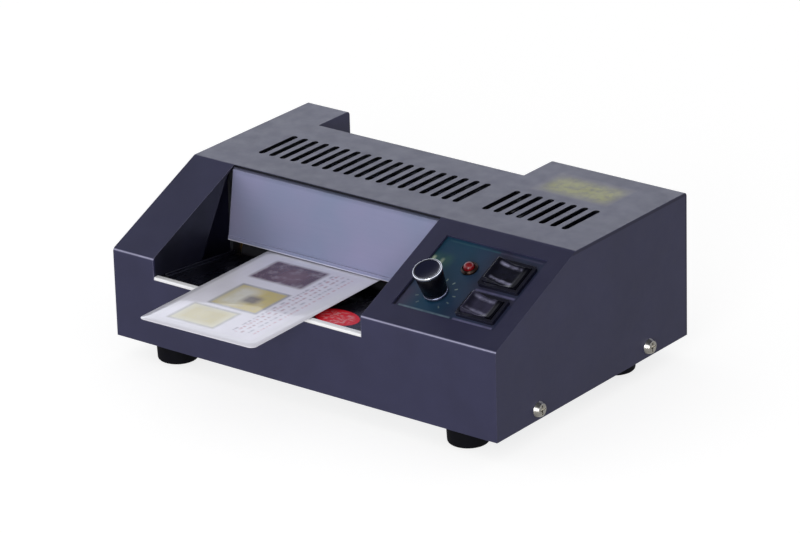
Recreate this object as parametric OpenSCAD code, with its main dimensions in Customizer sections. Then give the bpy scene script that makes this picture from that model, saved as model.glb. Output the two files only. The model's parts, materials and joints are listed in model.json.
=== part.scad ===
// Small desktop pouch laminator: a folded steel case with a feed mouth in its front slope,
// a control panel on the right, and two pairs of geared rollers with heater bars between them.
// Millimetres. +X to the right seen from the front, +Y to the rear, +Z up. The origin is on the
// table top, under the middle of the whole footprint with the pouch in the mouth.
// Lengths named x, y, z and s below count from the case: x from its left side, y from its front,
// z from its lower edge, and s up the front slope from the bend.

/* [Case] */
// Width of the case
body_w = 220; // [216:1:240]
// Depth of the case
body_d = 148; // [147:1:165]
// Height of the case from its lower edge to its top
cover_h = 70.8; // [69:0.1:85]
// Height of the upright front wall
front_h = 43.3; // [41:0.1:50]
// Depth that the front slope takes up
slope_run = 60.7; // [60:0.1:64]
// Thickness of the case sheet
sheet_t = 1; // [0.8:0.1:1.2]
// Outer radius of the folds
bend_r = 2; // [1.3:0.1:3]

/* [Mouth and exit] */
// Distance from the left side to the mouth
mouth_x = 24.2; // [20:0.1:28]
// Width of the column to the right of the mouth
column_w = 74.5; // [73:0.5:90]
// Height of the mouth's lip
lip_z = 34.5; // [32:0.1:35]
// Height of the bright strip on the lip
lip_h = 1.5; // [1:0.1:2]
// Distance from the rear rollers to the notch at the rear
exit_gap = 14; // [12.5:0.5:18]
// Angle at which the feed table falls to the rear
table_dip = 5.5; // [2:0.5:8]
// Thickness of the tables' sheet
table_t = 1.2; // [0.8:0.1:1.5]
// Distance that the shield's lower edge stands in front of its upper edge
shield_lean = 5.1; // [2:0.1:7]
// Thickness of the shields' sheet
shield_t = 1; // [0.8:0.1:1.2]
// Gap between the pouch and each shield's lower edge
slot_gap = 0.4; // [0.3:0.1:1.5]

/* [Top vents] */
// Length of a vent slot
vent_l = 27.4; // [15:0.1:30]
// Width of a vent slot
vent_w = 3.3; // [2:0.1:3.5]
// Spacing of the vent slots
vent_pitch = 6.33; // [5:0.01:7]
// Distance from the front to the slots
vent_y = 79; // [75:0.5:90]
// Distance from the mouth's right side to the slots over the motor
vent_in = 10.2; // [8:0.1:14]

/* [Feet] */
// Diameter of a foot at its top
foot_d = 20; // [16:0.5:22]
// Height of a foot
foot_h = 10; // [8:0.5:14]
// Distance from each side to the feet
foot_inset = 25.6; // [16:0.1:32]
// Distance from the sides to the rear feet
rear_foot_inset = 18.5; // [16:0.1:32]
// Distance from the front to the front feet
foot_front_y = 13; // [13:0.5:25]
// Distance from the front to the rear feet
foot_rear_y = 116; // [100:0.5:130]

/* [Control panel] */
// Distance from the mouth to the panel window
window_in = 9.5; // [8:0.1:10.5]
// Width of the panel window
window_w = 56; // [55:0.5:57]
// Distance up the slope to the panel window
window_s = 11.5; // [10:0.1:12]
// Length of the panel window up the slope
window_l = 45.8; // [44:0.1:46]
// Thickness of the panel sheet
panel_t = 1.2; // [0.8:0.1:1.5]
// Distance from the window's left side to the knob
knob_in = 16.2; // [13:0.1:18]
// Position of the knob up the slope
knob_s = 24; // [22:0.1:27]
// Diameter of the knob
knob_d = 13.7; // [13.2:0.1:15]
// Height of the knob
knob_h = 14.8; // [11:0.1:18]
// Height of the bright ring round the knob's top
ring_h = 1.5; // [1:0.1:2.5]
// Distance from the window's left side to the indicator lamp
lamp_in = 22.5; // [20:0.1:25]
// Position of the indicator lamp up the slope
lamp_s = 42.3; // [40:0.1:46]
// Diameter of the lamp's lens
lamp_d = 5; // [3:0.1:6]
// Distance from the window's left side to the switches
switch_in = 43.2; // [42:0.1:44]
// Position of the lower switch up the slope
lower_switch_s = 22.1; // [21:0.1:22.5]
// Size of the lower switch's bezel
lower_switch_size = [20.8, 14.8]; // [12:0.1:24]
// Position of the upper switch up the slope
upper_switch_s = 42.9; // [42:0.1:44]
// Size of the upper switch's bezel
upper_switch_size = [22, 17.4]; // [12:0.1:24]
// Tilt of a rocker to each side
rocker_tilt = 10; // [6:0.5:12]

/* [Rollers and gears] */
// Module of the gears
gear_m = 1; // [0.97:0.01:1.02]
// Teeth on each roller's gear
roller_teeth = 22; // [22:1:22]
// Teeth on the idler gear
idler_teeth = 16; // [16:1:17]
// Teeth on the motor's pinion
pinion_teeth = 12; // [12:1:13]
// Width of the gears
gear_w = 6; // [4:0.5:7]
// Diameter of the roller shafts
shaft_d = 8; // [6:0.1:8.5]
// Distance from the front to the front rollers
front_roller_y = 72; // [71:0.1:72.5]
// Gap between the pouch and each roller
nip_gap = 0.15; // [0.1:0.05:0.4]
// Height that the upper rollers can lift
lift = 0.8; // [0.4:0.1:1.2]
// Side of a shaft bush
bush_side = 12; // [11:0.1:13]
// Length of the springs over the upper bushes
spring_l = 8; // [6:0.1:9]
// Diameter of the springs
spring_d = 5; // [4:0.1:6]

/* [Frames and heaters] */
// Thickness of the side frames and of the motor bracket
frame_t = 1.5; // [1.2:0.1:2]
// Gap between the case's cheeks and the side frames
frame_gap = 1.5; // [1:0.1:2]
// Diameter of the tie rods
tie_rod_d = 8; // [6.5:0.1:9]
// Depth of the heater bars, front to rear
heater_w = 14; // [10:0.1:15]
// Thickness of the heater bars
heater_t = 5; // [4:0.1:6]
// Gap between the pouch and each heater bar
heater_gap = 0.9; // [0.5:0.1:1.5]
// Thickness of the flat heating elements
element_t = 1.6; // [1:0.1:2]

/* [Motor] */
// Diameter of the motor
motor_d = 44; // [38:0.5:48]
// Length of the reduction gearbox
gearbox_l = 20; // [14:0.5:24]
// Length of the motor can
motor_l = 24; // [15:0.5:28]
// Diameter of the motor's output shaft and of the idler pin
pin_d = 6; // [5:0.1:6.5]

/* [Electrics] */
// Width of the circuit board
board_w = 52; // [50:0.5:54]
// Depth of the circuit board
board_d = 46; // [45:0.5:48]
// Height of the board above the base pan
board_z = 8; // [6:0.5:10]
// Distance from the mouth to the power inlet
inlet_in = 37.5; // [34:0.5:40]
// Height of the power inlet's middle
inlet_z = 28; // [24:0.5:32]

/* [Pouch] */
// Width of the pouch
pouch_w = 65.5; // [50:0.5:85]
// Length of the pouch
pouch_l = 98; // [90:0.5:110]
// Thickness of the pouch with its card
pouch_t = 0.7; // [0.4:0.05:0.9]
// Radius of the pouch's corners
pouch_r = 3; // [1:0.5:6]
// Distance from the left side to the pouch
pouch_x = 51.2; // [30:0.1:70]
// Distance that the pouch stands out of the mouth
pouch_out = 42.5; // [35:0.5:50]
// Angle at which the pouch was laid in
pouch_yaw = 1.5; // [0:0.1:3]

/* [Fasteners and fits] */
// Diameter of the screws that hold the case, feet and frames
screw_d = 4; // [3:0.1:4.4]
// Diameter of a screw head
head_d = 7.6; // [6.5:0.1:8]
// Height of a screw head
head_h = 2.2; // [1.6:0.1:2.8]
// Radial clearance of a shaft in its bush
running = 0.05; // [0.02:0.01:0.09]
// Clearance between parts that are pushed or dropped in
loose = 0.1; // [0.05:0.01:0.2]

/* [Hidden] */
$fn = 64;

// Case
slope_a = atan2(cover_h - front_h, slope_run);
inner_top = cover_h - sheet_t;
mouth_r = body_w - column_w;
mouth_w = mouth_r - mouth_x;
lip_cut = lip_z - lip_h;
exit_cut = lip_z - table_t;
cheek_z = lip_cut - 4;
cheek_top_back = 3.5;
cheek_low_back = 28;
screw_rows = [31, 117];
side_screw_z = 5.1;
inlet_flange_t = 2;
rear_reach = inlet_flange_t;
pouch_front = pouch_out - pouch_r * (sin(pouch_yaw) + cos(pouch_yaw) - 1);
origin_y = (body_d + rear_reach - pouch_front) / 2;
edge_slack = 0.5;
vent_edge = 0.6;

// Base pan
pan_t = 1.2;
pan_in = sheet_t + loose;
pan_rim = 10;
collar_d = 9;
collar_h = 2;
floor_slot_l = 40;
floor_slot_w = 3;

// Feed path
path_z = lip_z + nip_gap + pouch_t / 2;
nip_half = pouch_t / 2 + nip_gap;
slot_z = path_z + pouch_t / 2 + slot_gap;
shield_top = inner_top - 0.5;
shield_x = mouth_x + 0.8;
shield_w = mouth_w - 1.6;
shield_y = slope_run - 2.1;
hem_h = 2;
hem_t = 0.8;

// Gears and rollers
pressure = 20;
addendum = 0.8;
dedendum = 1.1;
backlash = 0.2;
flank_steps = 4;
pitch_r = gear_m * roller_teeth / 2;
roller_r = pitch_r - nip_half;
upper_z = path_z + pitch_r;
lower_z = path_z - pitch_r;
idler_gap = gear_m * (roller_teeth + idler_teeth) / 2;
idler_y = front_roller_y + idler_gap;
rear_roller_y = idler_y + idler_gap;
exit_y = rear_roller_y + exit_gap;
rear_shield_y = exit_y - 0.1;
pinion_z = lower_z + gear_m * (idler_teeth + pinion_teeth) / 2;

// Frames
frame_reach = 12;
frame_front = front_roller_y - frame_reach;
frame_rear = rear_roller_y + frame_reach;
frame_top = shield_top - shield_t;
left_frame_x = mouth_x - sheet_t - frame_gap - frame_t;
right_frame_x = mouth_r + sheet_t + frame_gap;
frame_foot = 12;
collar_gap = 1;
foot_end = foot_rear_y - collar_d / 2 - collar_gap;
relief_z = pan_t + collar_h + collar_gap;
foot_screw_in = 10;
bush_flange = 1;
bush_l = frame_t + 1;
gear_x = right_frame_x + frame_t + bush_flange + 0.7;
bracket_x = gear_x + gear_w + 5.8;
shaft_head_d = shaft_d + 3;
shaft_head_t = 1.6;
shaft_x = left_frame_x - bush_flange - shaft_head_t - 0.3;
shaft_end = gear_x + gear_w + 1.5;
inside_x = left_frame_x + frame_t;
inside_w = right_frame_x - inside_x;
rod_over = 0.9;
upper_rod_z = upper_z + roller_r + lift + rod_over + tie_rod_d / 2;
upper_rod_in = 6;
lower_rod_z = 10;
rod_bore = 8;

// Control panel
window_x = mouth_r + window_in;
knob_x = window_x + knob_in;
lamp_x = window_x + lamp_in;
switch_x = window_x + switch_in;
bezel_lap = 0.6;
panel_n = -sheet_t;
panel_border = 3.5;
rocker_wall = 1.6;
rocker_gap = 0.3;
bezel_t = 1.8;
housing_depth = 13;
pivot_d = 2.4;
pivot_l = 0.7;
blade = [0.8, 4.8, 7];
knob_gap = 0.6;
ring_t = 0.9;
pot_d = 16;
pot_t = 8;
bushing_d = 7;
nut_d = 9.6;
knob_taper = 1;
nut_t = 1.8;

// Board
board_x = bracket_x - 5;
board_y = 8;
board_t = 1.6;
board_top = pan_t + board_z + board_t;
standoff_d = 6;
standoff_in = 4;

// Inlet
inlet_x = mouth_r + inlet_in;
inlet_cut = [27.4, 20.2];
inlet_flange = [50, 22.6];
inlet_hole_pitch = 40;
inlet_deep = 15;
inlet_cavity = [24, 16.6, 15.5];
contact = [2, 4, 13];
small_screw = 3;

// Moves case lengths to the frame of the whole part.
module machine() {
    translate([-body_w / 2, -origin_y, foot_h]) children();
}

// A box between two corners.
module block(low, high) {
    translate(low) cube(high - low);
}

// A plate that stands across X, cut to an outline of [y, z] points.
module side_plate(x, t, outline) {
    translate([x, 0, 0]) rotate([90, 0, 90]) linear_extrude(t) polygon(outline);
}

// A round bar along X.
module rod(x, y, z, d, l) {
    translate([x, y, z]) rotate([0, 90, 0]) cylinder(d = d, h = l);
}

// Puts a piece on the front slope: its X stays, its Y runs up the slope, its Z stands off it.
module on_slope(x, s, n = 0) {
    translate([x, s * cos(slope_a) - n * sin(slope_a), front_h + s * sin(slope_a) + n * cos(slope_a)])
        rotate([slope_a, 0, 0]) children();
}

// A pan head screw that stands on z = 0 with its shank below.
module pan_screw(d, head, tall, length) {
    slot = head * 0.6;
    difference() {
        cylinder(d1 = head, d2 = head * 0.78, h = tall);
        for (turn = [0, 90])
            rotate(turn) translate([-slot / 2, -head / 16, tall / 2]) cube([slot, head / 8, tall]);
    }
    translate([0, 0, -length]) cylinder(d = d, h = length);
}

function unit(v) = v / norm(v);

// The points of one corner of an outline, rounded to radius r.
function corner(a, p, b, r, steps = 5) = r <= 0 ? [p] :
    let (u = unit(a - p), v = unit(b - p), half = acos(u * v) / 2)
    let (c = p + unit(u + v) * r / sin(half), reach = r / tan(half))
    let (first = p + u * reach - c, last = p + v * reach - c)
    let (a0 = atan2(first[1], first[0]), a1 = atan2(last[1], last[0]))
    let (sweep = (a1 - a0 + 540) % 360 - 180)
    [for (i = [0:steps]) c + r * [cos(a0 + sweep * i / steps), sin(a0 + sweep * i / steps)]];

// An outline with each corner rounded to its own radius.
function rounded(points, radii) = let (n = len(points))
    [for (i = [0:n - 1]) each corner(points[(i + n - 1) % n], points[i], points[(i + 1) % n], radii[i])];

function right_of(a, b) = let (d = unit(b - a)) [d[1], -d[0]];

// A clockwise outline moved inwards by t.
function inset(points, t) = let (n = len(points)) [for (i = [0:n - 1])
    let (p = points[i], m = right_of(points[(i + n - 1) % n], p), k = right_of(p, points[(i + 1) % n]))
    p + t * (m + k) / (1 + m * k)];

// A rectangle with round corners, about its middle.
function pad(w, l, r) = rounded([[-w, -l] / 2, [-w, l] / 2, [w, l] / 2, [w, -l] / 2], [r, r, r, r]);

// The case seen from its side, down to a given depth under its lower edge.
function case_outline(under) = [[0, -under], [0, front_h], [slope_run, cover_h], [body_d, cover_h],
    [body_d, -under]];

module case_solid() {
    side_plate(0, body_w, rounded(case_outline(0), [0, bend_r, bend_r, bend_r, 0]));
}

module case_hollow() {
    inner_r = bend_r - sheet_t;
    side_plate(sheet_t, body_w - 2 * sheet_t,
        rounded(inset(case_outline(pan_rim), sheet_t), [0, inner_r, inner_r, inner_r, 0]));
}

// The folded-down edges beside the mouth and the exit.
module cheeks() {
    for (x = [mouth_x - sheet_t, mouth_r]) {
        intersection() {
            case_solid();
            side_plate(x, sheet_t, [[0, cheek_z], [0, cover_h], [slope_run - cheek_top_back, cover_h],
                [slope_run - cheek_low_back, cheek_z]]);
        }
        intersection() {
            case_solid();
            block([x, exit_y - sheet_t, cheek_z], [x + sheet_t, body_d, cover_h]);
        }
    }
}

// As many slots as the room to the right of x holds.
module vent_row(x, room) {
    slot = pad(vent_w, vent_l, vent_w / 2 - 0.01);
    for (i = [0:floor(room / vent_pitch)])
        translate([x + i * vent_pitch, vent_y + vent_l / 2, inner_top - 1])
            linear_extrude(sheet_t + 2) polygon(slot);
}

module cover() {
    color("#3a3a4c") machine() difference() {
        union() {
            difference() {
                case_solid();
                case_hollow();
                block([mouth_x, -1, lip_cut], [mouth_r, slope_run, cover_h + 1]);
                block([mouth_x, exit_y, exit_cut], [mouth_r, body_d + 1, cover_h + 1]);
            }
            cheeks();
        }
        vent_row(mouth_x + vent_edge, mouth_w - vent_pitch);
        vent_row(mouth_r + vent_in, column_w - vent_in - 2.8 * vent_pitch);
        on_slope(window_x, window_s) block([0, 0, -3 * sheet_t], [window_w, window_l, sheet_t]);
        for (y = screw_rows)
            rod(-1, y, side_screw_z, screw_d + 2 * loose, body_w + 2);
        translate([inlet_x, body_d, inlet_z])
            block([-inlet_cut[0] / 2, -2 * sheet_t, -inlet_cut[1] / 2],
                [inlet_cut[0] / 2, sheet_t, inlet_cut[1] / 2]);
        for (side = [-1, 1])
            translate([inlet_x + side * inlet_hole_pitch / 2, body_d + 1, inlet_z])
                rotate([90, 0, 0]) cylinder(d = small_screw + 2 * loose, h = 3 * sheet_t);
    }
}

foot_spots = [[foot_inset, foot_front_y], [body_w - foot_inset, foot_front_y],
    [rear_foot_inset, foot_rear_y], [body_w - rear_foot_inset, foot_rear_y]];
frame_screw_rows = [frame_front + foot_screw_in, foot_end - foot_screw_in];
frame_foot_mids = [left_frame_x - frame_foot / 2, right_frame_x + frame_t + frame_foot / 2 + 1,
    bracket_x + frame_t + frame_foot / 2];

module base_pan() {
    color("#8f9296") machine() difference() {
        union() {
            difference() {
                block([pan_in, pan_in, 0], [body_w - pan_in, body_d - pan_in, pan_rim]);
                block([pan_in + pan_t, pan_in + pan_t, pan_t],
                    [body_w - pan_in - pan_t, body_d - pan_in - pan_t, pan_rim + 1]);
            }
            for (spot = foot_spots)
                translate(spot) cylinder(d = collar_d, h = pan_t + collar_h);
        }
        for (spot = foot_spots)
            translate([spot[0], spot[1], -1]) cylinder(d = screw_d + 2 * running, h = foot_h);
        for (x = frame_foot_mids) for (y = frame_screw_rows)
            translate([x, y, -1]) cylinder(d = screw_d + 2 * running, h = 2 * pan_t + 1);
        for (y = screw_rows)
            rod(0, y, side_screw_z, screw_d + 2 * running, body_w);
        for (i = [0:8])
            translate([inside_x + inside_w * (i + 1) / 10, idler_y, -1])
                linear_extrude(pan_t + 2) polygon(pad(floor_slot_w, floor_slot_l, floor_slot_w / 2 - 0.01));
    }
}

foot_taper = 0.4;

module rubber_feet() {
    low_r = foot_d / 2 - foot_taper;
    recess_r = head_d / 2 + 0.6;
    color("#17171a") machine() for (spot = foot_spots)
        translate([spot[0], spot[1], -foot_h]) rotate_extrude()
            polygon([[recess_r, 0], [low_r - 1, 0], [low_r, 0.8], [foot_d / 2, foot_h - 1.5],
                [foot_d / 2, foot_h], [screw_d / 2 + loose, foot_h], [screw_d / 2 + loose, foot_h / 2],
                [recess_r, foot_h / 2]]);
}

module foot_screws() {
    color("#b9bcc0") machine() for (spot = foot_spots)
        translate([spot[0], spot[1], -foot_h / 2]) rotate([180, 0, 0])
            pan_screw(screw_d, head_d, head_h, foot_h / 2 + pan_t + collar_h);
}

module cover_screws() {
    shank = sheet_t + loose + pan_t + 3;
    color("#c9c8c2") machine() for (y = screw_rows) {
        translate([body_w, y, side_screw_z]) rotate([0, 90, 0]) pan_screw(screw_d, head_d, head_h, shank);
        translate([0, y, side_screw_z]) rotate([0, -90, 0]) pan_screw(screw_d, head_d, head_h, shank);
    }
}

module front_shield() {
    foot_y = shield_y - shield_lean;
    flange_y = slope_run + edge_slack;
    flange_end = flange_y + 9;
    lean_a = atan2(shield_lean, shield_top - slot_z);
    color("#b4b3cc") machine() {
        side_plate(shield_x, shield_w, [[foot_y, slot_z], [shield_y, shield_top], [flange_y, shield_top],
            [flange_y, frame_top], [shield_y + shield_t, frame_top], [foot_y + shield_t, slot_z]]);
        block([left_frame_x, flange_y, frame_top], [right_frame_x + frame_t, flange_end, shield_top]);
        translate([shield_x, foot_y, slot_z]) rotate([-lean_a, 0, 0])
            block([0, -hem_t, 0], [shield_w, 0, hem_h]);
    }
}

module rear_shield() {
    lap = 9;
    color("#b4b3cc") machine() {
        block([shield_x, rear_shield_y - shield_t, slot_z], [shield_x + shield_w, rear_shield_y, shield_top]);
        block([left_frame_x, frame_rear - lap, frame_top], [right_frame_x + frame_t, frame_rear, shield_top]);
        block([shield_x, frame_rear - 1, frame_top], [shield_x + shield_w, rear_shield_y, shield_top]);
    }
}

table_x = mouth_x + 0.2;
table_w = mouth_w - 0.4;

module feed_table() {
    front_y = sheet_t + loose;
    run = frame_front - 3 - front_y;
    rim_h = 1.5;
    rim_start = 6;
    color("#1d1d22") machine() translate([table_x, front_y, lip_cut]) {
        side_plate(0, table_w, [[0, 0], [2, 0], [run, -tan(table_dip) * (run - 2)],
            [run, -tan(table_dip) * (run - 2) - table_t], [2, -table_t], [table_t, -table_t], [table_t, -8],
            [0, -8]]);
        for (x = [0, table_w - table_t])
            side_plate(x, table_t, [[rim_start, -tan(table_dip) * (rim_start - 2) - table_t / 2],
                [rim_start, rim_h - tan(table_dip) * (rim_start - 2)],
                [run, rim_h - tan(table_dip) * (run - 2)],
                [run, -tan(table_dip) * (run - 2) - table_t / 2]]);
    }
}

module table_lip() {
    lip_w = 3.1;
    color("#e8e9ee") machine()
        side_plate(table_x, table_w, rounded([[0, lip_cut], [0, lip_z], [lip_w, lip_z], [lip_w, lip_cut]],
            [0.1, 0.7, 0.4, 0.1]));
}

module exit_table() {
    front_y = rear_roller_y + 8;
    hook = 6;
    color("#1d1d22") machine() side_plate(table_x, table_w,
        [[front_y, lip_z - 1.5], [front_y + 3, lip_z], [body_d, lip_z], [body_d, exit_cut],
        [body_d - sheet_t - loose, exit_cut], [body_d - sheet_t - loose, exit_cut - hook],
        [body_d - sheet_t - loose - table_t, exit_cut - hook], [body_d - sheet_t - loose - table_t, exit_cut],
        [front_y + 3, exit_cut], [front_y, exit_cut - 1.5]]);
}

upper_rod_spots = [[front_roller_y - upper_rod_in, upper_rod_z], [rear_roller_y + upper_rod_in, upper_rod_z]];
rod_spots = concat(upper_rod_spots, [[idler_y, lower_rod_z]]);
roller_rows = [front_roller_y, rear_roller_y];

module side_frame(x, foot_x) {
    bush_slack = bush_side / 2 + loose;
    slot_top = upper_z + bush_side / 2 + spring_l;
    difference() {
        union() {
            side_plate(x, frame_t, [[frame_front, pan_t], [frame_front, frame_top - 6],
                [frame_front + 3, frame_top], [frame_rear, frame_top], [frame_rear, relief_z],
                [foot_end, relief_z], [foot_end, pan_t]]);
            block([foot_x, frame_front, pan_t], [foot_x + frame_foot + 1, foot_end, pan_t + frame_t]);
        }
        for (y = roller_rows) {
            block([x - 1, y - bush_slack, lower_z - bush_side / 2],
                [x + frame_t + 1, y + bush_slack, lower_z + bush_slack]);
            block([x - 1, y - bush_slack, upper_z - bush_side / 2],
                [x + frame_t + 1, y + bush_slack, slot_top]);
        }
        for (spot = rod_spots)
            rod(x - 1, spot[0], spot[1], screw_d + 2 * loose, frame_t + 2);
        for (foot = frame_foot_mids) for (y = frame_screw_rows)
            translate([foot, y, 0]) cylinder(d = screw_d + 2 * loose, h = 3 * frame_t);
    }
}

module left_side_frame() {
    color("#9a9da3") machine() side_frame(left_frame_x, left_frame_x - frame_foot);
}

module right_side_frame() {
    color("#9a9da3") machine() difference() {
        side_frame(right_frame_x, right_frame_x + frame_t - 1);
        rod(right_frame_x - 1, idler_y, lower_z, pin_d - 2, frame_t + 2);
    }
}

module tie_rods() {
    color("#c2c4c8") machine() for (spot = rod_spots)
        difference() {
            rod(inside_x, spot[0], spot[1], tie_rod_d, inside_w);
            for (x = [inside_x - 1, inside_x + inside_w - rod_bore])
                rod(x, spot[0], spot[1], screw_d + 2 * running, rod_bore + 1);
        }
}

module frame_screws() {
    color("#b9bcc0") machine() {
        for (spot = rod_spots) {
            translate([left_frame_x, spot[0], spot[1]]) rotate([0, -90, 0])
                pan_screw(screw_d, head_d, head_h, frame_t + rod_bore - 2);
            translate([right_frame_x + frame_t, spot[0], spot[1]]) rotate([0, 90, 0])
                pan_screw(screw_d, head_d, head_h, frame_t + rod_bore - 2);
        }
        for (x = frame_foot_mids) for (y = frame_screw_rows)
            translate([x, y, pan_t + frame_t]) pan_screw(screw_d, head_d, head_h, pan_t + frame_t);
    }
}

// One bush block in each side frame, on a shaft at [y, z].
module bush_pair(y, z) {
    flange = bush_side / 2 + 1.5;
    for (side = [0, 1]) {
        plate_x = side == 0 ? left_frame_x - bush_flange : right_frame_x + frame_t;
        body_x = side == 0 ? left_frame_x : right_frame_x + frame_t - bush_l;
        difference() {
            union() {
                block([plate_x, y - flange, z - bush_side / 2],
                    [plate_x + bush_flange, y + flange, z + bush_side / 2]);
                block([body_x, y - bush_side / 2, z - bush_side / 2],
                    [body_x + bush_l, y + bush_side / 2, z + bush_side / 2]);
            }
            rod(plate_x - bush_l - 1, y, z, shaft_d + 2 * running, 3 * bush_l);
        }
    }
}

module lower_bushes() {
    color("#b08d4a") machine() for (y = roller_rows) bush_pair(y, lower_z);
}

module front_upper_bushes() {
    color("#b08d4a") machine() bush_pair(front_roller_y, upper_z);
}

module rear_upper_bushes() {
    color("#b08d4a") machine() bush_pair(rear_roller_y, upper_z);
}

// A round wire wound into a helix on the Z axis.
module coil_spring(d, wire, l, turns) {
    sides = 6;
    rings = turns * 12;
    ring_r = (d - wire) / 2;
    points = [for (i = [0:rings]) let (a = 360 * turns * i / rings, z = wire / 2 + (l - wire) * i / rings)
        for (k = [0:sides - 1]) let (r = ring_r + cos(360 * k / sides) * wire / 2)
            [r * cos(a), r * sin(a), z + sin(360 * k / sides) * wire / 2]];
    walls = [for (i = [0:rings - 1]) for (k = [0:sides - 1])
        let (a = i * sides + k, b = i * sides + (k + 1) % sides) [a, a + sides, b + sides, b]];
    ends = [[for (k = [0:sides - 1]) k], [for (k = [sides - 1:-1:0]) rings * sides + k]];
    polyhedron(points, concat(walls, ends));
}

module spring_pair(y) {
    for (x = [left_frame_x, right_frame_x])
        translate([x + frame_t / 2, y, upper_z + bush_side / 2]) coil_spring(spring_d, 0.8, spring_l, 4);
}

module front_springs() {
    color("#d0d2d6") machine() spring_pair(front_roller_y);
}

module rear_springs() {
    color("#d0d2d6") machine() spring_pair(rear_roller_y);
}

// The angle between an involute's start and its point at pressure angle a.
function involute(a) = tan(a) * 180 / PI - a;

// The outline of a gear with a tooth in the direction turn.
function gear_outline(teeth, turn) =
    let (r = gear_m * teeth / 2, base = r * cos(pressure))
    let (tip = r + addendum * gear_m, root = r - dedendum * gear_m)
    let (half = 90 / teeth - backlash / 4 / r * 180 / PI + involute(pressure))
    let (radii = [for (i = [0:flank_steps]) base + (tip - base) * i / flank_steps])
    let (angles = [for (q = radii) half - involute(acos(min(1, base / q)))])
    let (start = min(root, base - 0.05))
    [for (k = [0:teeth - 1]) let (mid = turn + 360 * k / teeth) each concat(
        [start * [cos(mid - half), sin(mid - half)]],
        [for (i = [0:flank_steps]) radii[i] * [cos(mid - angles[i]), sin(mid - angles[i])]],
        [for (i = [flank_steps:-1:0]) radii[i] * [cos(mid + angles[i]), sin(mid + angles[i])]],
        [start * [cos(mid + half), sin(mid + half)]])];

// The turn that puts gear b in mesh with gear a, which lies in the direction away from it.
function meshed(teeth_a, turn_a, teeth_b, way) =
    way + 180 - (0.5 - (way - turn_a) * teeth_a / 360) * 360 / teeth_b;

rear_lower_turn = meshed(idler_teeth, 0, roller_teeth, 0);
front_lower_turn = meshed(idler_teeth, 0, roller_teeth, 180);
upper_front_turn = meshed(roller_teeth, front_lower_turn, roller_teeth, 90);
upper_rear_turn = meshed(roller_teeth, rear_lower_turn, roller_teeth, 90);
pinion_turn = meshed(idler_teeth, 0, pinion_teeth, 90);

module spur_gear(y, z, teeth, turn, bore) {
    difference() {
        translate([gear_x, y, z]) rotate([90, 0, 90]) linear_extrude(gear_w) polygon(gear_outline(teeth, turn));
        if (bore > 0)
            rod(gear_x - 1, y, z, bore, gear_w + 2);
    }
}

module roller_shaft(y, z) {
    chamfer = 0.6;
    color("#c6c8cc") machine() translate([shaft_x, y, z]) rotate([0, 90, 0]) rotate_extrude()
        polygon([[0, 0], [shaft_head_d / 2, 0], [shaft_head_d / 2, shaft_head_t], [shaft_d / 2, shaft_head_t],
            [shaft_d / 2, shaft_end - shaft_x - chamfer], [shaft_d / 2 - chamfer, shaft_end - shaft_x],
            [0, shaft_end - shaft_x]]);
}

module roller_sleeve(y, z) {
    color("#2b2a2d") machine() difference() {
        rod(shield_x, y, z, 2 * roller_r, shield_w);
        rod(shield_x - 1, y, z, shaft_d, shield_w + 2);
    }
}

module roller_gear(y, z, turn) {
    color("#e6e2d3") machine() spur_gear(y, z, roller_teeth, turn, shaft_d);
}

module front_lower_shaft() { roller_shaft(front_roller_y, lower_z); }
module front_lower_sleeve() { roller_sleeve(front_roller_y, lower_z); }
module front_lower_gear() { roller_gear(front_roller_y, lower_z, front_lower_turn); }
module front_upper_shaft() { roller_shaft(front_roller_y, upper_z); }
module front_upper_sleeve() { roller_sleeve(front_roller_y, upper_z); }
module front_upper_gear() { roller_gear(front_roller_y, upper_z, upper_front_turn); }
module rear_lower_shaft() { roller_shaft(rear_roller_y, lower_z); }
module rear_lower_sleeve() { roller_sleeve(rear_roller_y, lower_z); }
module rear_lower_gear() { roller_gear(rear_roller_y, lower_z, rear_lower_turn); }
module rear_upper_shaft() { roller_shaft(rear_roller_y, upper_z); }
module rear_upper_sleeve() { roller_sleeve(rear_roller_y, upper_z); }
module rear_upper_gear() { roller_gear(rear_roller_y, upper_z, upper_rear_turn); }

module idler_pin() {
    collar = pin_d + 3;
    from_x = right_frame_x + frame_t;
    color("#c6c8cc") machine() {
        rod(from_x - frame_t, idler_y, lower_z, pin_d - 2, frame_t);
        rod(from_x, idler_y, lower_z, collar, gear_x - loose - from_x);
        rod(gear_x - loose, idler_y, lower_z, pin_d, gear_w + 2 * loose);
        rod(gear_x + gear_w + loose, idler_y, lower_z, collar, bracket_x - gear_x - gear_w - loose);
    }
}

module idler_gear() {
    color("#e6e2d3") machine() spur_gear(idler_y, lower_z, idler_teeth, 0, pin_d + 2 * running);
}

motor_screw_r = motor_d * 0.4;
motor_face = bracket_x + frame_t;
pin_bore = 10;

module motor_bracket() {
    color("#9a9da3") machine() difference() {
        union() {
            side_plate(bracket_x, frame_t, [[frame_front, pan_t], [frame_front, pinion_z + 26],
                [frame_rear, pinion_z + 26], [frame_rear, pan_t]]);
            block([bracket_x, frame_front, pan_t], [motor_face + frame_foot, frame_rear, pan_t + frame_t]);
        }
        rod(bracket_x - 1, idler_y, pinion_z, 2 * pin_d, frame_t + 2);
        for (turn = [45:90:315])
            rod(bracket_x - 1, idler_y + motor_screw_r * cos(turn), pinion_z + motor_screw_r * sin(turn),
                small_screw + 2 * loose, frame_t + 2);
        for (y = frame_screw_rows)
            translate([frame_foot_mids[2], y, 0]) cylinder(d = screw_d + 2 * loose, h = 3 * frame_t);
    }
}

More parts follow.
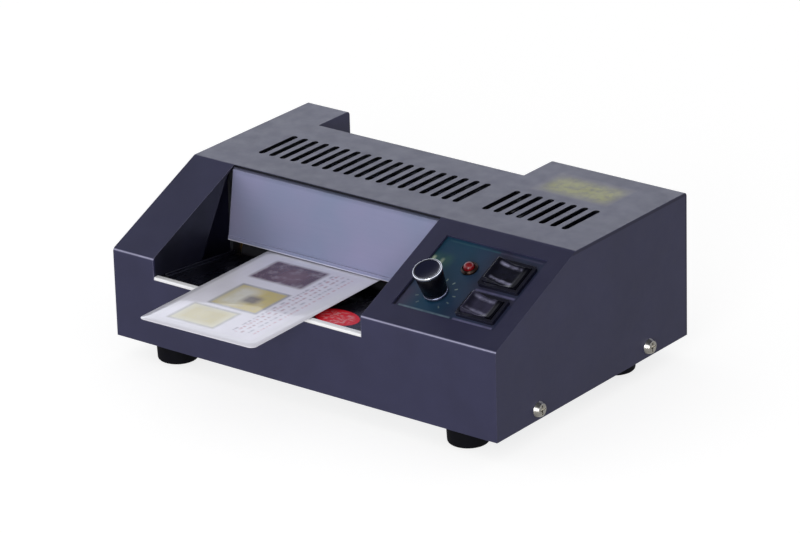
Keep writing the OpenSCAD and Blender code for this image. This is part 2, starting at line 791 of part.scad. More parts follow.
module motor_gearbox() {
    color("#b7b9bd") machine() difference() {
        rod(motor_face, idler_y, pinion_z, motor_d, gearbox_l);
        rod(motor_face - 1, idler_y, pinion_z, pin_d + 2 * running, pin_bore + 1);
        for (turn = [45:90:315])
            rod(motor_face - 1, idler_y + motor_screw_r * cos(turn), pinion_z + motor_screw_r * sin(turn),
                small_screw + 2 * running, 7);
    }
}

module motor_can() {
    lid = 3;
    color("#8b8e94") machine() {
        rod(motor_face + gearbox_l, idler_y, pinion_z, motor_d - 1, motor_l - lid);
        rod(motor_face + gearbox_l + motor_l - lid, idler_y, pinion_z, motor_d - 8, lid);
    }
}

module motor_screws() {
    color("#b9bcc0") machine() for (turn = [45:90:315])
        translate([bracket_x, idler_y + motor_screw_r * cos(turn), pinion_z + motor_screw_r * sin(turn)])
            rotate([0, -90, 0]) pan_screw(small_screw, 5.4, 1.8, frame_t + 5);
}

module motor_pinion() {
    color("#c9a24b") machine() {
        spur_gear(idler_y, pinion_z, pinion_teeth, pinion_turn, 0);
        rod(gear_x - 0.5, idler_y, pinion_z, pin_d, motor_face + pin_bore - 0.5 - gear_x + 0.5);
    }
}

heater_y = idler_y - heater_w / 2;
upper_bar_z = path_z + pouch_t / 2 + heater_gap;
lower_bar_z = path_z - pouch_t / 2 - heater_gap;
element_in = 2;

module heater_bars() {
    color("#c3c6ca") machine() {
        for (z = [upper_bar_z, lower_bar_z - heater_t])
            block([inside_x, heater_y, z], [inside_x + inside_w, heater_y + heater_w, z + heater_t]);
    }
}

module heating_elements() {
    start = [inside_x + 6, heater_y + element_in, 0];
    finish = [inside_x + inside_w - 6, heater_y + heater_w - element_in, 0];
    color("#c98f4a") machine() {
        block(start + [0, 0, upper_bar_z + heater_t], finish + [0, 0, upper_bar_z + heater_t + element_t]);
        block(start + [0, 0, lower_bar_z - heater_t - element_t], finish + [0, 0, lower_bar_z - heater_t]);
    }
}

module thermostat() {
    cap_d = 12;
    cap_h = 6;
    color("#2b2523") machine()
        translate([inside_x + inside_w / 2, idler_y, upper_bar_z + heater_t + element_t]) {
            cylinder(d = cap_d, h = cap_h);
            for (side = [-1, 1])
                translate([side * 3, 0, cap_h]) block([-0.4, -2, 0], [0.4, 2, 5]);
        }
}

module circuit_board() {
    color("#2f6b45") machine() difference() {
        block([board_x, board_y, pan_t + board_z], [board_x + board_w, board_y + board_d, board_top]);
        for (spot = standoff_spots)
            translate([spot[0], spot[1], pan_t + board_z - 1]) cylinder(d = small_screw, h = board_t + 2);
    }
}

standoff_spots = [for (x = [board_x + standoff_in, board_x + board_w - standoff_in])
    for (y = [board_y + standoff_in, board_y + board_d - standoff_in]) [x, y]];

module board_standoffs() {
    color("#d9d4c4") machine() for (spot = standoff_spots)
        translate([spot[0], spot[1], pan_t]) {
            cylinder(d = standoff_d, h = board_z);
            cylinder(d = small_screw - 2 * loose, h = board_z + board_t);
            translate([0, 0, board_z + board_t]) cylinder(d1 = small_screw + 1.6, d2 = small_screw - 1, h = 2);
        }
}

module transformer() {
    core = [26, 12, 20];
    coil = [18, 20, 14];
    color("#6d6256") machine() translate([board_x + 16, board_y + board_d - 16, board_top]) {
        block([-core[0] / 2, -core[1] / 2, 0], [core[0] / 2, core[1] / 2, core[2]]);
        block([-coil[0] / 2, -coil[1] / 2, 2], [coil[0] / 2, coil[1] / 2, coil[2]]);
        for (x = [-7, 7]) for (y = [-8, 8])
            translate([x, y, 0]) cylinder(d = 1.6, h = 2);
    }
}

module board_parts() {
    relay = [19, 12, 14];
    heat_sink = [14, 2, 12];
    tall_can = [10, 13];
    short_can = [6, 9];
    color("#26282e") machine() translate([board_x, board_y, board_top]) {
        translate([9, 6, 0]) block([0, 0, 0], relay);
        translate([33, 27, 0]) block([0, 0, 0], heat_sink);
        translate([38, 12, 0]) cylinder(d = tall_can[0], h = tall_can[1]);
        translate([32, 19, 0]) cylinder(d = short_can[0], h = short_can[1]);
    }
}

module terminal_block() {
    ways = 3;
    pitch = 6;
    tall = 11;
    color("#3f7f57") machine()
        translate([board_x + board_w - ways * pitch - 8, board_y + board_d - 9.5, board_top])
        difference() {
            block([0, 0, 0], [ways * pitch, 9, tall]);
            for (i = [0:ways - 1]) {
                translate([(i + 0.5) * pitch, 4.5, tall - 4]) cylinder(d = 3.6, h = 5);
                translate([(i + 0.5) * pitch, 4, 4]) rotate([90, 0, 0]) cylinder(d = 3.2, h = 5);
            }
        }
}

// The hole that each control needs in the panel: [x, s, width, length] or [x, s, diameter].
panel_holes = [[lower_switch_s, lower_switch_size], [upper_switch_s, upper_switch_size]];

function housing_w(size) = size[0] - 2 * bezel_lap;
function housing_l(size) = size[1] - 2 * bezel_lap;

module control_panel() {
    low_n = panel_n - panel_t;
    color("#2c3a48") machine() difference() {
        on_slope(window_x - panel_border, window_s - panel_border)
            block([0, 0, low_n], [window_w + 2 * panel_border, window_l + 2 * panel_border, panel_n]);
        for (hole = panel_holes)
            on_slope(switch_x, hole[0])
                block([-housing_w(hole[1]) / 2 - loose, -housing_l(hole[1]) / 2 - loose, low_n - 1],
                    [housing_w(hole[1]) / 2 + loose, housing_l(hole[1]) / 2 + loose, 1]);
        on_slope(knob_x, knob_s, low_n - 1) cylinder(d = bushing_d + 2 * loose, h = panel_t + 2);
        on_slope(lamp_x, lamp_s, low_n - 1) cylinder(d = lamp_d + 2.4, h = panel_t + 2);
    }
}

module potentiometer() {
    under = panel_n - panel_t;
    color("#8f8b84") machine() on_slope(knob_x, knob_s) difference() {
        union() {
            translate([0, 0, under - pot_t]) cylinder(d = pot_d, h = pot_t);
            translate([0, 0, under - 1]) cylinder(d = bushing_d, h = panel_t + nut_t + 2);
            translate([0, 0, panel_n]) cylinder(d = nut_d, h = nut_t, $fn = 6);
            for (x = [-5, 0, 5])
                translate([x, 0, 0])
                    block([-0.6, -pot_d / 2 - 5, under - 3], [0.6, -pot_d / 2 + 1, under - 2.2]);
        }
        translate([0, 0, under - pot_t + 2]) cylinder(d = pin_d + 2 * running, h = 2 * pot_t);
    }
}

module knob() {
    base_n = panel_n + knob_gap;
    recess_h = nut_t + 1.4;
    top_n = base_n + knob_h;
    grip_r = knob_d / 2;
    foot_r = grip_r - knob_taper;
    color("#141417") machine() on_slope(knob_x, knob_s) {
        difference() {
            translate([0, 0, base_n]) rotate_extrude()
                polygon([[0, 0], [foot_r, 0], [foot_r, 1.4], [foot_r - 0.2, 1.9],
                    [grip_r - 0.2, knob_h - ring_h], [grip_r - ring_t, knob_h - ring_h],
                    [grip_r - ring_t, knob_h], [0, knob_h]]);
            translate([0, 0, base_n - 1]) cylinder(d = nut_d + 1, h = recess_h + 1);
            translate([0, 0, top_n - 0.6]) block([-0.5, 1, 0], [0.5, grip_r - 1.6, 1]);
        }
        translate([0, 0, panel_n - panel_t - pot_t + 2.5]) cylinder(d = pin_d, h = pot_t + knob_h / 2);
    }
}

module knob_ring() {
    low_n = panel_n + knob_gap + knob_h - ring_h;
    grip_r = knob_d / 2;
    color("#d7d9dd") machine() on_slope(knob_x, knob_s, low_n) rotate_extrude()
        polygon([[grip_r - ring_t, 0], [grip_r - 0.1, 0], [grip_r, 0.3], [grip_r, ring_h - 0.4],
            [grip_r - 0.35, ring_h], [grip_r - ring_t, ring_h]]);
}

module indicator_lamp() {
    lens_r = lamp_d / 2;
    color("#c4202c") machine() on_slope(lamp_x, lamp_s, panel_n - panel_t - 6) rotate_extrude()
        polygon(concat([[0, 0], [lens_r, 0]], [for (a = [0:15:90])
            [lens_r * cos(a), panel_t + 7.6 + lens_r * 0.8 * sin(a)]]));
}

module lamp_bezel() {
    lens_r = lamp_d / 2;
    low = panel_t + 3;
    color("#b8bbc0") machine() on_slope(lamp_x, lamp_s, panel_n - low) rotate_extrude()
        polygon([[lens_r, 0], [lens_r + 1.1, 0], [lens_r + 1.1, low], [lens_r + 1.6, low],
            [lens_r + 1.5, low + 0.8], [lens_r + 0.7, low + 1.6], [lens_r, low + 1.2]]);
}

function rocker_l(size) = size[0] - 2 * rocker_wall - 2 * rocker_gap;
function rocker_w(size) = size[1] - 2 * rocker_wall - 2 * rocker_gap;
pivot_n = panel_n + bezel_t - 1.5;
well_depth = 4.8;

module switch_housing(s, size) {
    well_w = rocker_l(size) + 2 * rocker_gap;
    well_l = rocker_w(size) + 2 * rocker_gap;
    color("#101013") machine() on_slope(switch_x, s) {
        difference() {
            union() {
                translate([0, 0, panel_n]) linear_extrude(bezel_t) polygon(pad(size[0], size[1], 1));
                translate([0, 0, panel_n - housing_depth])
                    block([-housing_w(size) / 2, -housing_l(size) / 2, 0],
                        [housing_w(size) / 2, housing_l(size) / 2, housing_depth + 0.5]);
            }
            translate([0, 0, pivot_n - well_depth])
                block([-well_w / 2, -well_l / 2, 0], [well_w / 2, well_l / 2, 2 * well_depth]);
            translate([0, well_l / 2 + pivot_l, pivot_n]) rotate([90, 0, 0])
                cylinder(d = pivot_d + 2 * running, h = well_l + 2 * pivot_l);
        }
        for (x = [-1, 0, 1])
            translate([x * 6, 0, panel_n - housing_depth - blade[2]])
                block([-blade[0] / 2, -blade[1] / 2, 0], [blade[0] / 2, blade[1] / 2, blade[2]]);
    }
}

// A rocker with its right half pressed in; it turns about a pivot that runs up the slope.
module rocker(s, size) {
    long = rocker_l(size) / 2;
    wide = rocker_w(size) / 2;
    color("#0c0c0f") machine() on_slope(switch_x, s, pivot_n) rotate([90, rocker_tilt, 0]) {
        intersection() {
            translate([0, 0, -wide]) cylinder(r = long, h = 2 * wide);
            translate([0, 0, -wide]) linear_extrude(2 * wide)
                polygon([[-long, -2.4], [-long, 3.4], [-long + 1.5, 3.4], [0, 1.9], [long - 1.5, 3.4],
                    [long, 3.4], [long, -2.4]]);
        }
        translate([0, 0, -wide - rocker_gap - pivot_l + 0.1])
            cylinder(d = pivot_d, h = 2 * (wide + rocker_gap + pivot_l - 0.1));
    }
}

module upper_switch_housing() { switch_housing(upper_switch_s, upper_switch_size); }
module upper_rocker() { rocker(upper_switch_s, upper_switch_size); }
module lower_switch_housing() { switch_housing(lower_switch_s, lower_switch_size); }
module lower_rocker() { rocker(lower_switch_s, lower_switch_size); }

contact_spots = [[-7, -2], [7, -2], [0, 2]];

// Puts a piece on the rear wall at the inlet: its Z stands out of the case.
module on_inlet() {
    translate([inlet_x, body_d, inlet_z]) rotate([90, 0, 180]) children();
}

module power_inlet() {
    cavity = pad(inlet_cavity[0], inlet_cavity[1], 3);
    color("#151517") machine() on_inlet() difference() {
        union() {
            linear_extrude(inlet_flange_t) polygon(pad(inlet_flange[0], inlet_flange[1], 4));
            translate([0, 0, -inlet_deep])
                block([loose - inlet_cut[0] / 2, loose - inlet_cut[1] / 2, 0],
                    [inlet_cut[0] / 2 - loose, inlet_cut[1] / 2 - loose, inlet_deep + 1]);
        }
        translate([0, 0, inlet_flange_t - inlet_cavity[2]]) linear_extrude(inlet_cavity[2] + 1) polygon(cavity);
        for (side = [-1, 1])
            translate([side * inlet_hole_pitch / 2, 0, -1]) {
                cylinder(d = small_screw + 2 * loose, h = inlet_flange_t + 2);
                translate([0, 0, 1 + inlet_flange_t - 1.5]) cylinder(d1 = small_screw, d2 = 6.2, h = 1.6);
            }
        for (spot = contact_spots)
            translate([spot[0], spot[1], -inlet_deep - 1])
                block([-contact[0] / 2, -contact[1] / 2, 0], [contact[0] / 2, contact[1] / 2, inlet_deep]);
    }
}

module inlet_pins() {
    tail = 5;
    reach = tail + inlet_deep + inlet_flange_t - inlet_cavity[2] + contact[2];
    color("#cfd0d2") machine() on_inlet() for (spot = contact_spots)
        translate([spot[0], spot[1], -inlet_deep - tail])
            block([-contact[0] / 2, -contact[1] / 2, 0], [contact[0] / 2, contact[1] / 2, reach]);
}

module inlet_screws() {
    color("#b9bcc0") machine() on_inlet() for (side = [-1, 1])
        translate([side * inlet_hole_pitch / 2, 0, inlet_flange_t - 1.5]) difference() {
            union() {
                cylinder(d1 = small_screw, d2 = 6, h = 1.5);
                translate([0, 0, -6]) cylinder(d = small_screw, h = 6);
            }
            for (turn = [0, 90])
                rotate(turn) translate([-1.8, -0.35, 0.7]) cube([3.6, 0.7, 2]);
        }
}

module laminating_pouch() {
    color("#e3e2ec") machine()
        translate([pouch_x, -pouch_out, path_z - pouch_t / 2]) rotate(pouch_yaw)
            translate([pouch_w / 2, pouch_l / 2, 0])
                linear_extrude(pouch_t) polygon(pad(pouch_w, pouch_l, pouch_r));
}

cover();
base_pan();
rubber_feet();
foot_screws();
cover_screws();
front_shield();
rear_shield();
feed_table();
table_lip();
exit_table();
left_side_frame();
right_side_frame();
tie_rods();
frame_screws();
lower_bushes();
front_upper_bushes();
rear_upper_bushes();
front_springs();
rear_springs();
front_lower_shaft();
front_lower_sleeve();
front_lower_gear();
front_upper_shaft();
front_upper_sleeve();
front_upper_gear();
rear_lower_shaft();
rear_lower_sleeve();
rear_lower_gear();
rear_upper_shaft();
rear_upper_sleeve();
rear_upper_gear();
idler_pin();
idler_gear();
motor_bracket();
motor_gearbox();
motor_can();
motor_screws();
motor_pinion();
heater_bars();
heating_elements();
thermostat();
circuit_board();
board_standoffs();
transformer();
board_parts();
terminal_block();
control_panel();
potentiometer();
knob();
knob_ring();
indicator_lamp();
lamp_bezel();
upper_switch_housing();
upper_rocker();
lower_switch_housing();
lower_rocker();
power_inlet();
inlet_pins();
inlet_screws();
laminating_pouch();
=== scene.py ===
"""Dresses the packed frame of a small desktop pouch laminator: folded case, panel and geared rollers."""

import json
import math

import bmesh
import bpy
from mathutils import Matrix, Vector


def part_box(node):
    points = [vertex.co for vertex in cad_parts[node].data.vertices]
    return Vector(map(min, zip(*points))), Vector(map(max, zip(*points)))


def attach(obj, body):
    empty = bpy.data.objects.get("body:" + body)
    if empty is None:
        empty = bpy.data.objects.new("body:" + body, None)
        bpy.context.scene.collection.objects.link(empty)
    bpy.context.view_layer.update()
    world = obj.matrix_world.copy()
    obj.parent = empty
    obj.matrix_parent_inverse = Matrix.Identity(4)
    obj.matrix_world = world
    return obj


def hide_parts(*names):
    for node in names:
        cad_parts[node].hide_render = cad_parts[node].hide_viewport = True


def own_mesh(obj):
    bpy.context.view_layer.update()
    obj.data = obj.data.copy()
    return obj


bl_info = {
    "name": "Desktop pouch laminator",
    "version": (1, 0, 0),
    "blender": (4, 5, 0),
    "location": "3D View > Sidebar > Laminator",
    "description": "Builds the looks of a small pouch laminator around its packed frame",
    "category": "Object",
}

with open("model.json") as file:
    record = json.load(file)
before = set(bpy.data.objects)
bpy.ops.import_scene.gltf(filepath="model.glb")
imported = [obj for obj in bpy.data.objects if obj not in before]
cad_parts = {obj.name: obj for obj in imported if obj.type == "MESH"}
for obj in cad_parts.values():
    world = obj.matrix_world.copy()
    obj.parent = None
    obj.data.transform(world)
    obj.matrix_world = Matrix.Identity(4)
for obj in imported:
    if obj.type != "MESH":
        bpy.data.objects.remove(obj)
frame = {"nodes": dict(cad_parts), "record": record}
NODES = frame["nodes"]
NODE_BODY = {node: body for body, nodes in frame["record"]["behaviour"]["bodies"].items() for node in nodes}
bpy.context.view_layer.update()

MM = 0.001
# The case's lower, left, front corner: lengths in the comments below count from it.
CORNER, CASE_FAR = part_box("cover")
CASE_W, CASE_D, CASE_H = (CASE_FAR - CORNER) / MM
FRONT_WALL_H = 43.3
SLOPE_RUN = 60.7
SLOPE_ANGLE = math.atan2(CASE_H - FRONT_WALL_H, SLOPE_RUN)
PANEL_DEPTH = -1.0
# The mouth's two sides, along the machine.
MOUTH_X = (24.2, 145.5)


def at(x, y, z):
    """A point given in millimetres from the case's corner."""
    return CORNER + Vector((x, y, z)) * MM


# The front slope as a frame of its own: X along the machine, Y up the slope, Z off it, from the bend.
SLOPE = Matrix.Translation(at(0, 0, FRONT_WALL_H)) @ Matrix.Rotation(SLOPE_ANGLE, 4, "X")


def on_slope(x, s, n=0.0):
    return SLOPE @ Matrix.Translation(Vector((x, s, n)) * MM)


# ---------------------------------------------------------------- shader helpers


def linear(code):
    """An sRGB hex colour as linear RGBA."""
    channels = [int(code[i : i + 2], 16) / 255 for i in (1, 3, 5)]
    return (*[c / 12.92 if c <= 0.04045 else ((c + 0.055) / 1.055) ** 2.4 for c in channels], 1.0)


def add_node(tree, kind, inputs=None, **settings):
    """Adds a node with its settings; an input that is a socket is linked, any other is set."""
    node = tree.nodes.new(kind)
    for key, value in settings.items():
        setattr(node, key, value)
    for key, value in (inputs or {}).items():
        if isinstance(value, bpy.types.NodeSocket):
            tree.links.new(value, node.inputs[key])
        else:
            node.inputs[key].default_value = value
    return node


def where_all(tree, share, *others):
    """1 only where all the shares are 1."""
    for other in others:
        share = add_node(tree, "ShaderNodeMath", {0: share, 1: other}, operation="MULTIPLY").outputs["Value"]
    return share


def layered(tree, colour, *layers):
    """A colour with others over it, each given as its share and its ink."""
    for share, ink in layers:
        ink = linear(ink) if isinstance(ink, str) else ink
        colour = add_node(tree, "ShaderNodeMix", {"Factor": share, "A": colour, "B": ink},
                          data_type="RGBA").outputs["Result"]
    return colour


def per_metre(size_mm):
    """The texture scale that gives features of this size."""
    return 1000 / size_mm


def noise(tree, size_mm, detail=3.0, stretch=None, rough=0.55):
    """Noise with features of this size, drawn out where it is stretched, as brushing and rolling do."""
    place = add_node(tree, "ShaderNodeTexCoord").outputs["Object"]
    if stretch:
        place = add_node(tree, "ShaderNodeMapping", {"Vector": place, "Scale": stretch}).outputs["Vector"]
    return add_node(tree, "ShaderNodeTexNoise", {"Vector": place, "Scale": per_metre(size_mm), "Detail": detail,
                    "Roughness": rough}).outputs["Fac"]


def blotches(tree, size_mm, low=0.0, high=1.0, detail=3.0, over=(0.3, 0.7), stretch=None, rough=0.55):
    """A soft mottle that runs from low to high over a part of the noise."""
    return add_node(tree, "ShaderNodeMapRange", {"Value": noise(tree, size_mm, detail, stretch, rough), "From Min":
                    over[0], "From Max": over[1], "To Min": low, "To Max": high}).outputs["Result"]


def frame_of(tree, matrix):
    """A piece's place in metres, counted from a given corner and turned with it, as three lengths."""
    place = add_node(tree, "ShaderNodeTexCoord").outputs["Object"]
    place = add_node(tree, "ShaderNodeMapping", {"Vector": place, "Location": tuple(matrix.translation),
                     "Rotation": tuple(matrix.to_euler())}, vector_type="TEXTURE").outputs["Vector"]
    return add_node(tree, "ShaderNodeSeparateXYZ", {"Vector": place}).outputs


def fading(tree, length, first_mm, last_mm, low=0.0, high=1.0):
    """Runs from low to high between two marks."""
    return add_node(tree, "ShaderNodeMapRange", {"Value": length, "From Min": first_mm * MM, "From Max":
                    last_mm * MM, "To Min": low, "To Max": high}).outputs["Result"]


def between(tree, length, low_mm, high_mm, soft_mm=0.1):
    """1 where a length lies between two marks, with soft ends."""
    middle, half = (low_mm + high_mm) / 2, (high_mm - low_mm) / 2
    off = add_node(tree, "ShaderNodeMath", {0: length, 1: middle * MM}, operation="SUBTRACT").outputs["Value"]
    off = add_node(tree, "ShaderNodeMath", {0: off}, operation="ABSOLUTE").outputs["Value"]
    return fading(tree, off, half + soft_mm / 2, half - soft_mm / 2)


def patch(tree, place, x, y, soft_mm=0.1):
    """1 inside a rectangle given in millimetres as (low, high) along each way."""
    return where_all(tree, between(tree, place[0], *x, soft_mm), between(tree, place[1], *y, soft_mm))


def facing(tree, axis, low, high):
    """1 where a face looks along an axis of the machine, from a cosine of low to one of high."""
    normal = add_node(tree, "ShaderNodeNewGeometry").outputs["Normal"]
    normal = add_node(tree, "ShaderNodeSeparateXYZ", {"Vector": normal}).outputs[axis]
    return add_node(tree, "ShaderNodeMapRange", {"Value": normal, "From Min": low, "From Max": high}
                    ).outputs["Result"]


# The cosines between a face and its rounded self at which the edges' wear and painted highlight begin and are whole.
FLAT_TURN, EDGE_TURN = 0.995, 0.9


def worn_and_lit_edge(tree, radius_mm):
    """1 at the sharp edges of a piece, where paint draws thinner and a painted highlight stands for the light they
    catch.
    """
    rim = add_node(tree, "ShaderNodeBevel", {"Radius": radius_mm * MM}, samples=4).outputs["Normal"]
    face = add_node(tree, "ShaderNodeNewGeometry").outputs["Normal"]
    turn = add_node(tree, "ShaderNodeVectorMath", {0: rim, 1: face}, operation="DOT_PRODUCT").outputs["Value"]
    return add_node(tree, "ShaderNodeMapRange", {"Value": turn, "From Min": FLAT_TURN, "From Max": EDGE_TURN}
                    ).outputs["Result"]


def fresh(name):
    made = bpy.data.materials.new(name)
    made.use_nodes = True
    return made, made.node_tree, made.node_tree.nodes["Principled BSDF"]


def give(shader, tree, colour, rough, height, height_mm, strength=0.7, **fixed):
    """Links a shader's colour, roughness and height, and sets what is the same all over."""
    bump = add_node(tree, "ShaderNodeBump", {"Height": height, "Distance": height_mm * MM, "Strength": strength})
    for key, value in {"Base Color": colour, "Roughness": rough, "Normal": bump.outputs["Normal"]}.items():
        tree.links.new(value, shader.inputs[key])
    for key, value in fixed.items():
        shader.inputs[key.replace("_", " ").title().replace("Ior", "IOR")].default_value = value


# ---------------------------------------------------------------- plain finishes


def look(name):
    """A material from the table below.

    colour and second are mixed by a soft mottle of mottle_mm, drawn out by stretch. bump_mm and bump_h give the
    height texture. rough varies by vary. edge is painted over edge_mm at the sharp edges, where the finish is
    thinnest, and is a painted highlight as well.
    """
    if name in bpy.data.materials:
        return bpy.data.materials[name]
    facts = LOOKS[name]
    made, tree, shader = fresh(name)
    stretch = facts.get("stretch")
    mottle = {"detail": 5.0, "stretch": stretch, "rough": 0.6}
    fine = noise(tree, facts["bump_mm"], 3.0, stretch)
    mixed = blotches(tree, facts["mottle_mm"], over=(0.35, 0.65), **mottle)
    colour = layered(tree, linear(facts["colour"]), (mixed, facts["second"]))
    # Painted highlight at the sharp edges, where the finish also wears.
    if "edge" in facts:
        colour = layered(tree, colour, (where_all(tree, worn_and_lit_edge(tree, facts["edge_mm"]), fine, 0.6), facts["edge"]))
    rough, vary = facts["rough"], facts["vary"]
    give(shader, tree, colour, blotches(tree, facts["mottle_mm"], rough - vary, rough + vary, **mottle), fine,
         facts["bump_h"], 0.6, metallic=facts.get("metal", 0.0), coat_weight=facts.get("coat", 0.0),
         coat_roughness=facts.get("coat_rough", 0.1), specular_ior_level=facts.get("specular", 0.5))
    return made


# Each look starts from what the real surface is and how it was made.
LOOKS = {
    # Zinc plated and passivated sheet: a cool grey with a faint rolled grain and cloudy patches.
    "zinc_plated_sheet": dict(colour="#9a9da2", second="#83878e", metal=1.0, rough=0.38, vary=0.08, mottle_mm=14,
                              bump_mm=0.5, bump_h=0.004, stretch=(1.0, 0.25, 1.0), edge="#c4c7cb", edge_mm=0.4),
    # Moulded rubber: near black, dusty where it is handled, with the mould's fine etched skin.
    "moulded_rubber": dict(colour="#050509", second="#0b0b12", rough=0.72, vary=0.1, mottle_mm=4, bump_mm=0.35,
                           bump_h=0.02, specular=0.1, edge="#101018", edge_mm=0.5),
    # Nickel plated steel screws: warm white metal, slightly dulled.
    "nickel_plated_steel": dict(colour="#cfccc4", second="#b4b1a9", metal=1.0, rough=0.26, vary=0.08, mottle_mm=2,
                                bump_mm=0.2, bump_h=0.004, edge="#ece9e2", edge_mm=0.2),
    # Ground steel rod: bright, with rings left by the wheel.
    "ground_steel": dict(colour="#c3c5c9", second="#a9acb1", metal=1.0, rough=0.22, vary=0.07, mottle_mm=1.5,
                         stretch=(4.0, 1.0, 1.0), bump_mm=0.3, bump_h=0.003),
    # Cold drawn steel: grey under a film of oil.
    "drawn_steel": dict(colour="#55575c", second="#3f4146", metal=0.9, rough=0.55, vary=0.1, mottle_mm=3,
                        stretch=(0.2, 1.0, 1.0), bump_mm=0.4, bump_h=0.006),
    # Sintered bronze bush: porous and oily.
    "sintered_bronze": dict(colour="#a07c45", second="#8a6a3a", metal=1.0, rough=0.42, vary=0.1, mottle_mm=0.9,
                            bump_mm=0.25, bump_h=0.012, edge="#c9a76a", edge_mm=0.3),
    # Drawn spring wire.
    "spring_wire": dict(colour="#b9bbc0", second="#8f9298", metal=1.0, rough=0.3, vary=0.05, mottle_mm=0.6,
                        bump_mm=0.2, bump_h=0.003),
    # Ground silicone sleeve, carbon black, matt from the wheel.
    "ground_silicone": dict(colour="#161519", second="#1d1c21", rough=0.6, vary=0.08, mottle_mm=3,
                            stretch=(3.0, 1.0, 1.0), bump_mm=0.4, bump_h=0.012, specular=0.4),
    # Moulded nylon: cream, a little translucent looking, semi-matt.
    "moulded_nylon": dict(colour="#ddd8c6", second="#d0cab6", rough=0.42, vary=0.06, mottle_mm=5, bump_mm=0.3,
                          bump_h=0.006, edge="#efecdf", edge_mm=0.3),
    # Machined brass pinion.
    "machined_brass": dict(colour="#bf9a48", second="#a98338", metal=1.0, rough=0.25, vary=0.06, mottle_mm=1.2,
                           stretch=(3.0, 1.0, 1.0), bump_mm=0.25, bump_h=0.003, edge="#dcbc72", edge_mm=0.25),
    # Die-cast zinc alloy housing: smooth grey skin with flow marks.
    "diecast_zinc": dict(colour="#8f9196", second="#7b7d83", metal=1.0, rough=0.45, vary=0.1, mottle_mm=7,
                         bump_mm=0.6, bump_h=0.012, edge="#b3b5ba", edge_mm=0.5),
    # Extruded aluminium bar, mill finish: pale, with lines along the bar.
    "extruded_aluminium": dict(colour="#c6c8cb", second="#b2b4b8", metal=1.0, rough=0.36, vary=0.08, mottle_mm=2,
                               stretch=(0.06, 1.0, 1.0), bump_mm=0.3, bump_h=0.005),
    # Polyimide film over an etched foil heater: amber and glossy.
    "foil_heater_film": dict(colour="#a8682a", second="#7d4519", rough=0.22, vary=0.06, mottle_mm=2.2,
                             stretch=(0.1, 1.0, 1.0), bump_mm=0.8, bump_h=0.01, coat=0.4),
    # Phenolic moulding: dark brown black with a dull skin.
    "phenolic_moulding": dict(colour="#161517", second="#201e20", rough=0.42, vary=0.08, mottle_mm=2.5,
                              bump_mm=0.25, bump_h=0.008, edge="#38363a", edge_mm=0.3),
    # Varnished iron laminations: brown grey with half millimetre stripes.
    "varnished_laminations": dict(colour="#5b524a", second="#3f3833", metal=0.6, rough=0.48, vary=0.1, mottle_mm=0.9,
                                  stretch=(0.05, 1.0, 0.05), bump_mm=0.5, bump_h=0.03),
    # Green terminal block plastic.
    "terminal_plastic": dict(colour="#2c6a49", second="#275f41", rough=0.4, vary=0.05, mottle_mm=3, bump_mm=0.3,
                             bump_h=0.006, edge="#4a8c67", edge_mm=0.3),
    # Bright chrome plate.
    "chrome_plate": dict(colour="#dfe1e5", second="#d4d6db", metal=1.0, rough=0.07, vary=0.03, mottle_mm=6,
                         bump_mm=0.6, bump_h=0.001),
    # Dulled chrome of the ring at the knob's foot.
    "dull_chrome": dict(colour="#8f93a8", second="#7c8096", metal=1.0, rough=0.24, vary=0.06, mottle_mm=2,
                        bump_mm=0.4, bump_h=0.002),
    # Glossy black nylon of a snap-in switch.
    "switch_nylon": dict(colour="#0b0b18", second="#101022", rough=0.14, vary=0.04, mottle_mm=3, bump_mm=0.5,
                         bump_h=0.002, edge="#2b2b3c", edge_mm=0.25, coat=0.5, coat_rough=0.06),
    # Matt black moulding of a mains inlet.
    "inlet_moulding": dict(colour="#131315", second="#1a1a1c", rough=0.5, vary=0.06, mottle_mm=3, bump_mm=0.22,
                           bump_h=0.012, edge="#333337", edge_mm=0.3),
    # Polished aluminium strip on the lip, near white and hardly metallic: its colour is a painted highlight.
    "aluminium_with_painted_highlight": dict(colour="#ffffff", second="#f6f6fb", metal=0.1, rough=0.3, vary=0.05, mottle_mm=5,
                               stretch=(0.05, 1.0, 1.0), bump_mm=0.3, bump_h=0.002),
}


# ---------------------------------------------------------------- making and placing pieces


def link(name, mesh):
    piece = bpy.data.objects.new(name, mesh)
    bpy.context.scene.collection.objects.link(piece)
    return piece


def placed(name, mesh, matrix, sharp_deg=40):
    mesh.transform(matrix)
    piece = link(name, mesh)
    shade(piece, sharp_deg)
    return piece


def to_mesh(build, name, outward=True):
    """The mesh of what was built, with its faces turned outward."""
    if outward:
        bmesh.ops.recalc_face_normals(build, faces=build.faces)
    mesh = bpy.data.meshes.new(name)
    build.to_mesh(mesh)
    build.free()
    return mesh


def bridge(build, low, high):
    """Faces between two rings of points, of which either may be one point."""
    for k in range(max(len(low), len(high))):
        j = k + 1
        corners = (low[k % len(low)], low[j % len(low)], high[j % len(high)], high[k % len(high)])
        corners = list(dict.fromkeys(corners))
        if len(corners) > 2:
            build.faces.new(corners)


# Faces that meet more sharply than this are shaded apart, and than this are rounded.
SHARP_DEG, ROUNDED_DEG = 32, 30


def shade(piece, sharp_deg=SHARP_DEG):
    """Smooth shading that breaks at sharp edges, written into the mesh."""
    mesh = piece.data
    mesh.shade_smooth()
    build = bmesh.new()
    build.from_mesh(mesh)
    for edge in build.edges:
        edge.smooth = len(edge.link_faces) == 2 and edge.calc_face_angle(0.0) < math.radians(sharp_deg)
    build.to_mesh(mesh)
    build.free()


def round_edges(piece, width_mm, segments=2):
    """Rounds what is left sharp, as forming, moulding and painting do."""
    if width_mm <= 0:
        return
    bevel = piece.modifiers.new("rounded_edges", "BEVEL")
    bevel.width = width_mm * MM
    bevel.segments = segments
    bevel.limit_method = "ANGLE"
    bevel.angle_limit = math.radians(ROUNDED_DEG)
    bevel.miter_outer = "MITER_ARC"
    even = piece.modifiers.new("even_faces", "WEIGHTED_NORMAL")
    even.weight = 100
    even.keep_sharp = True


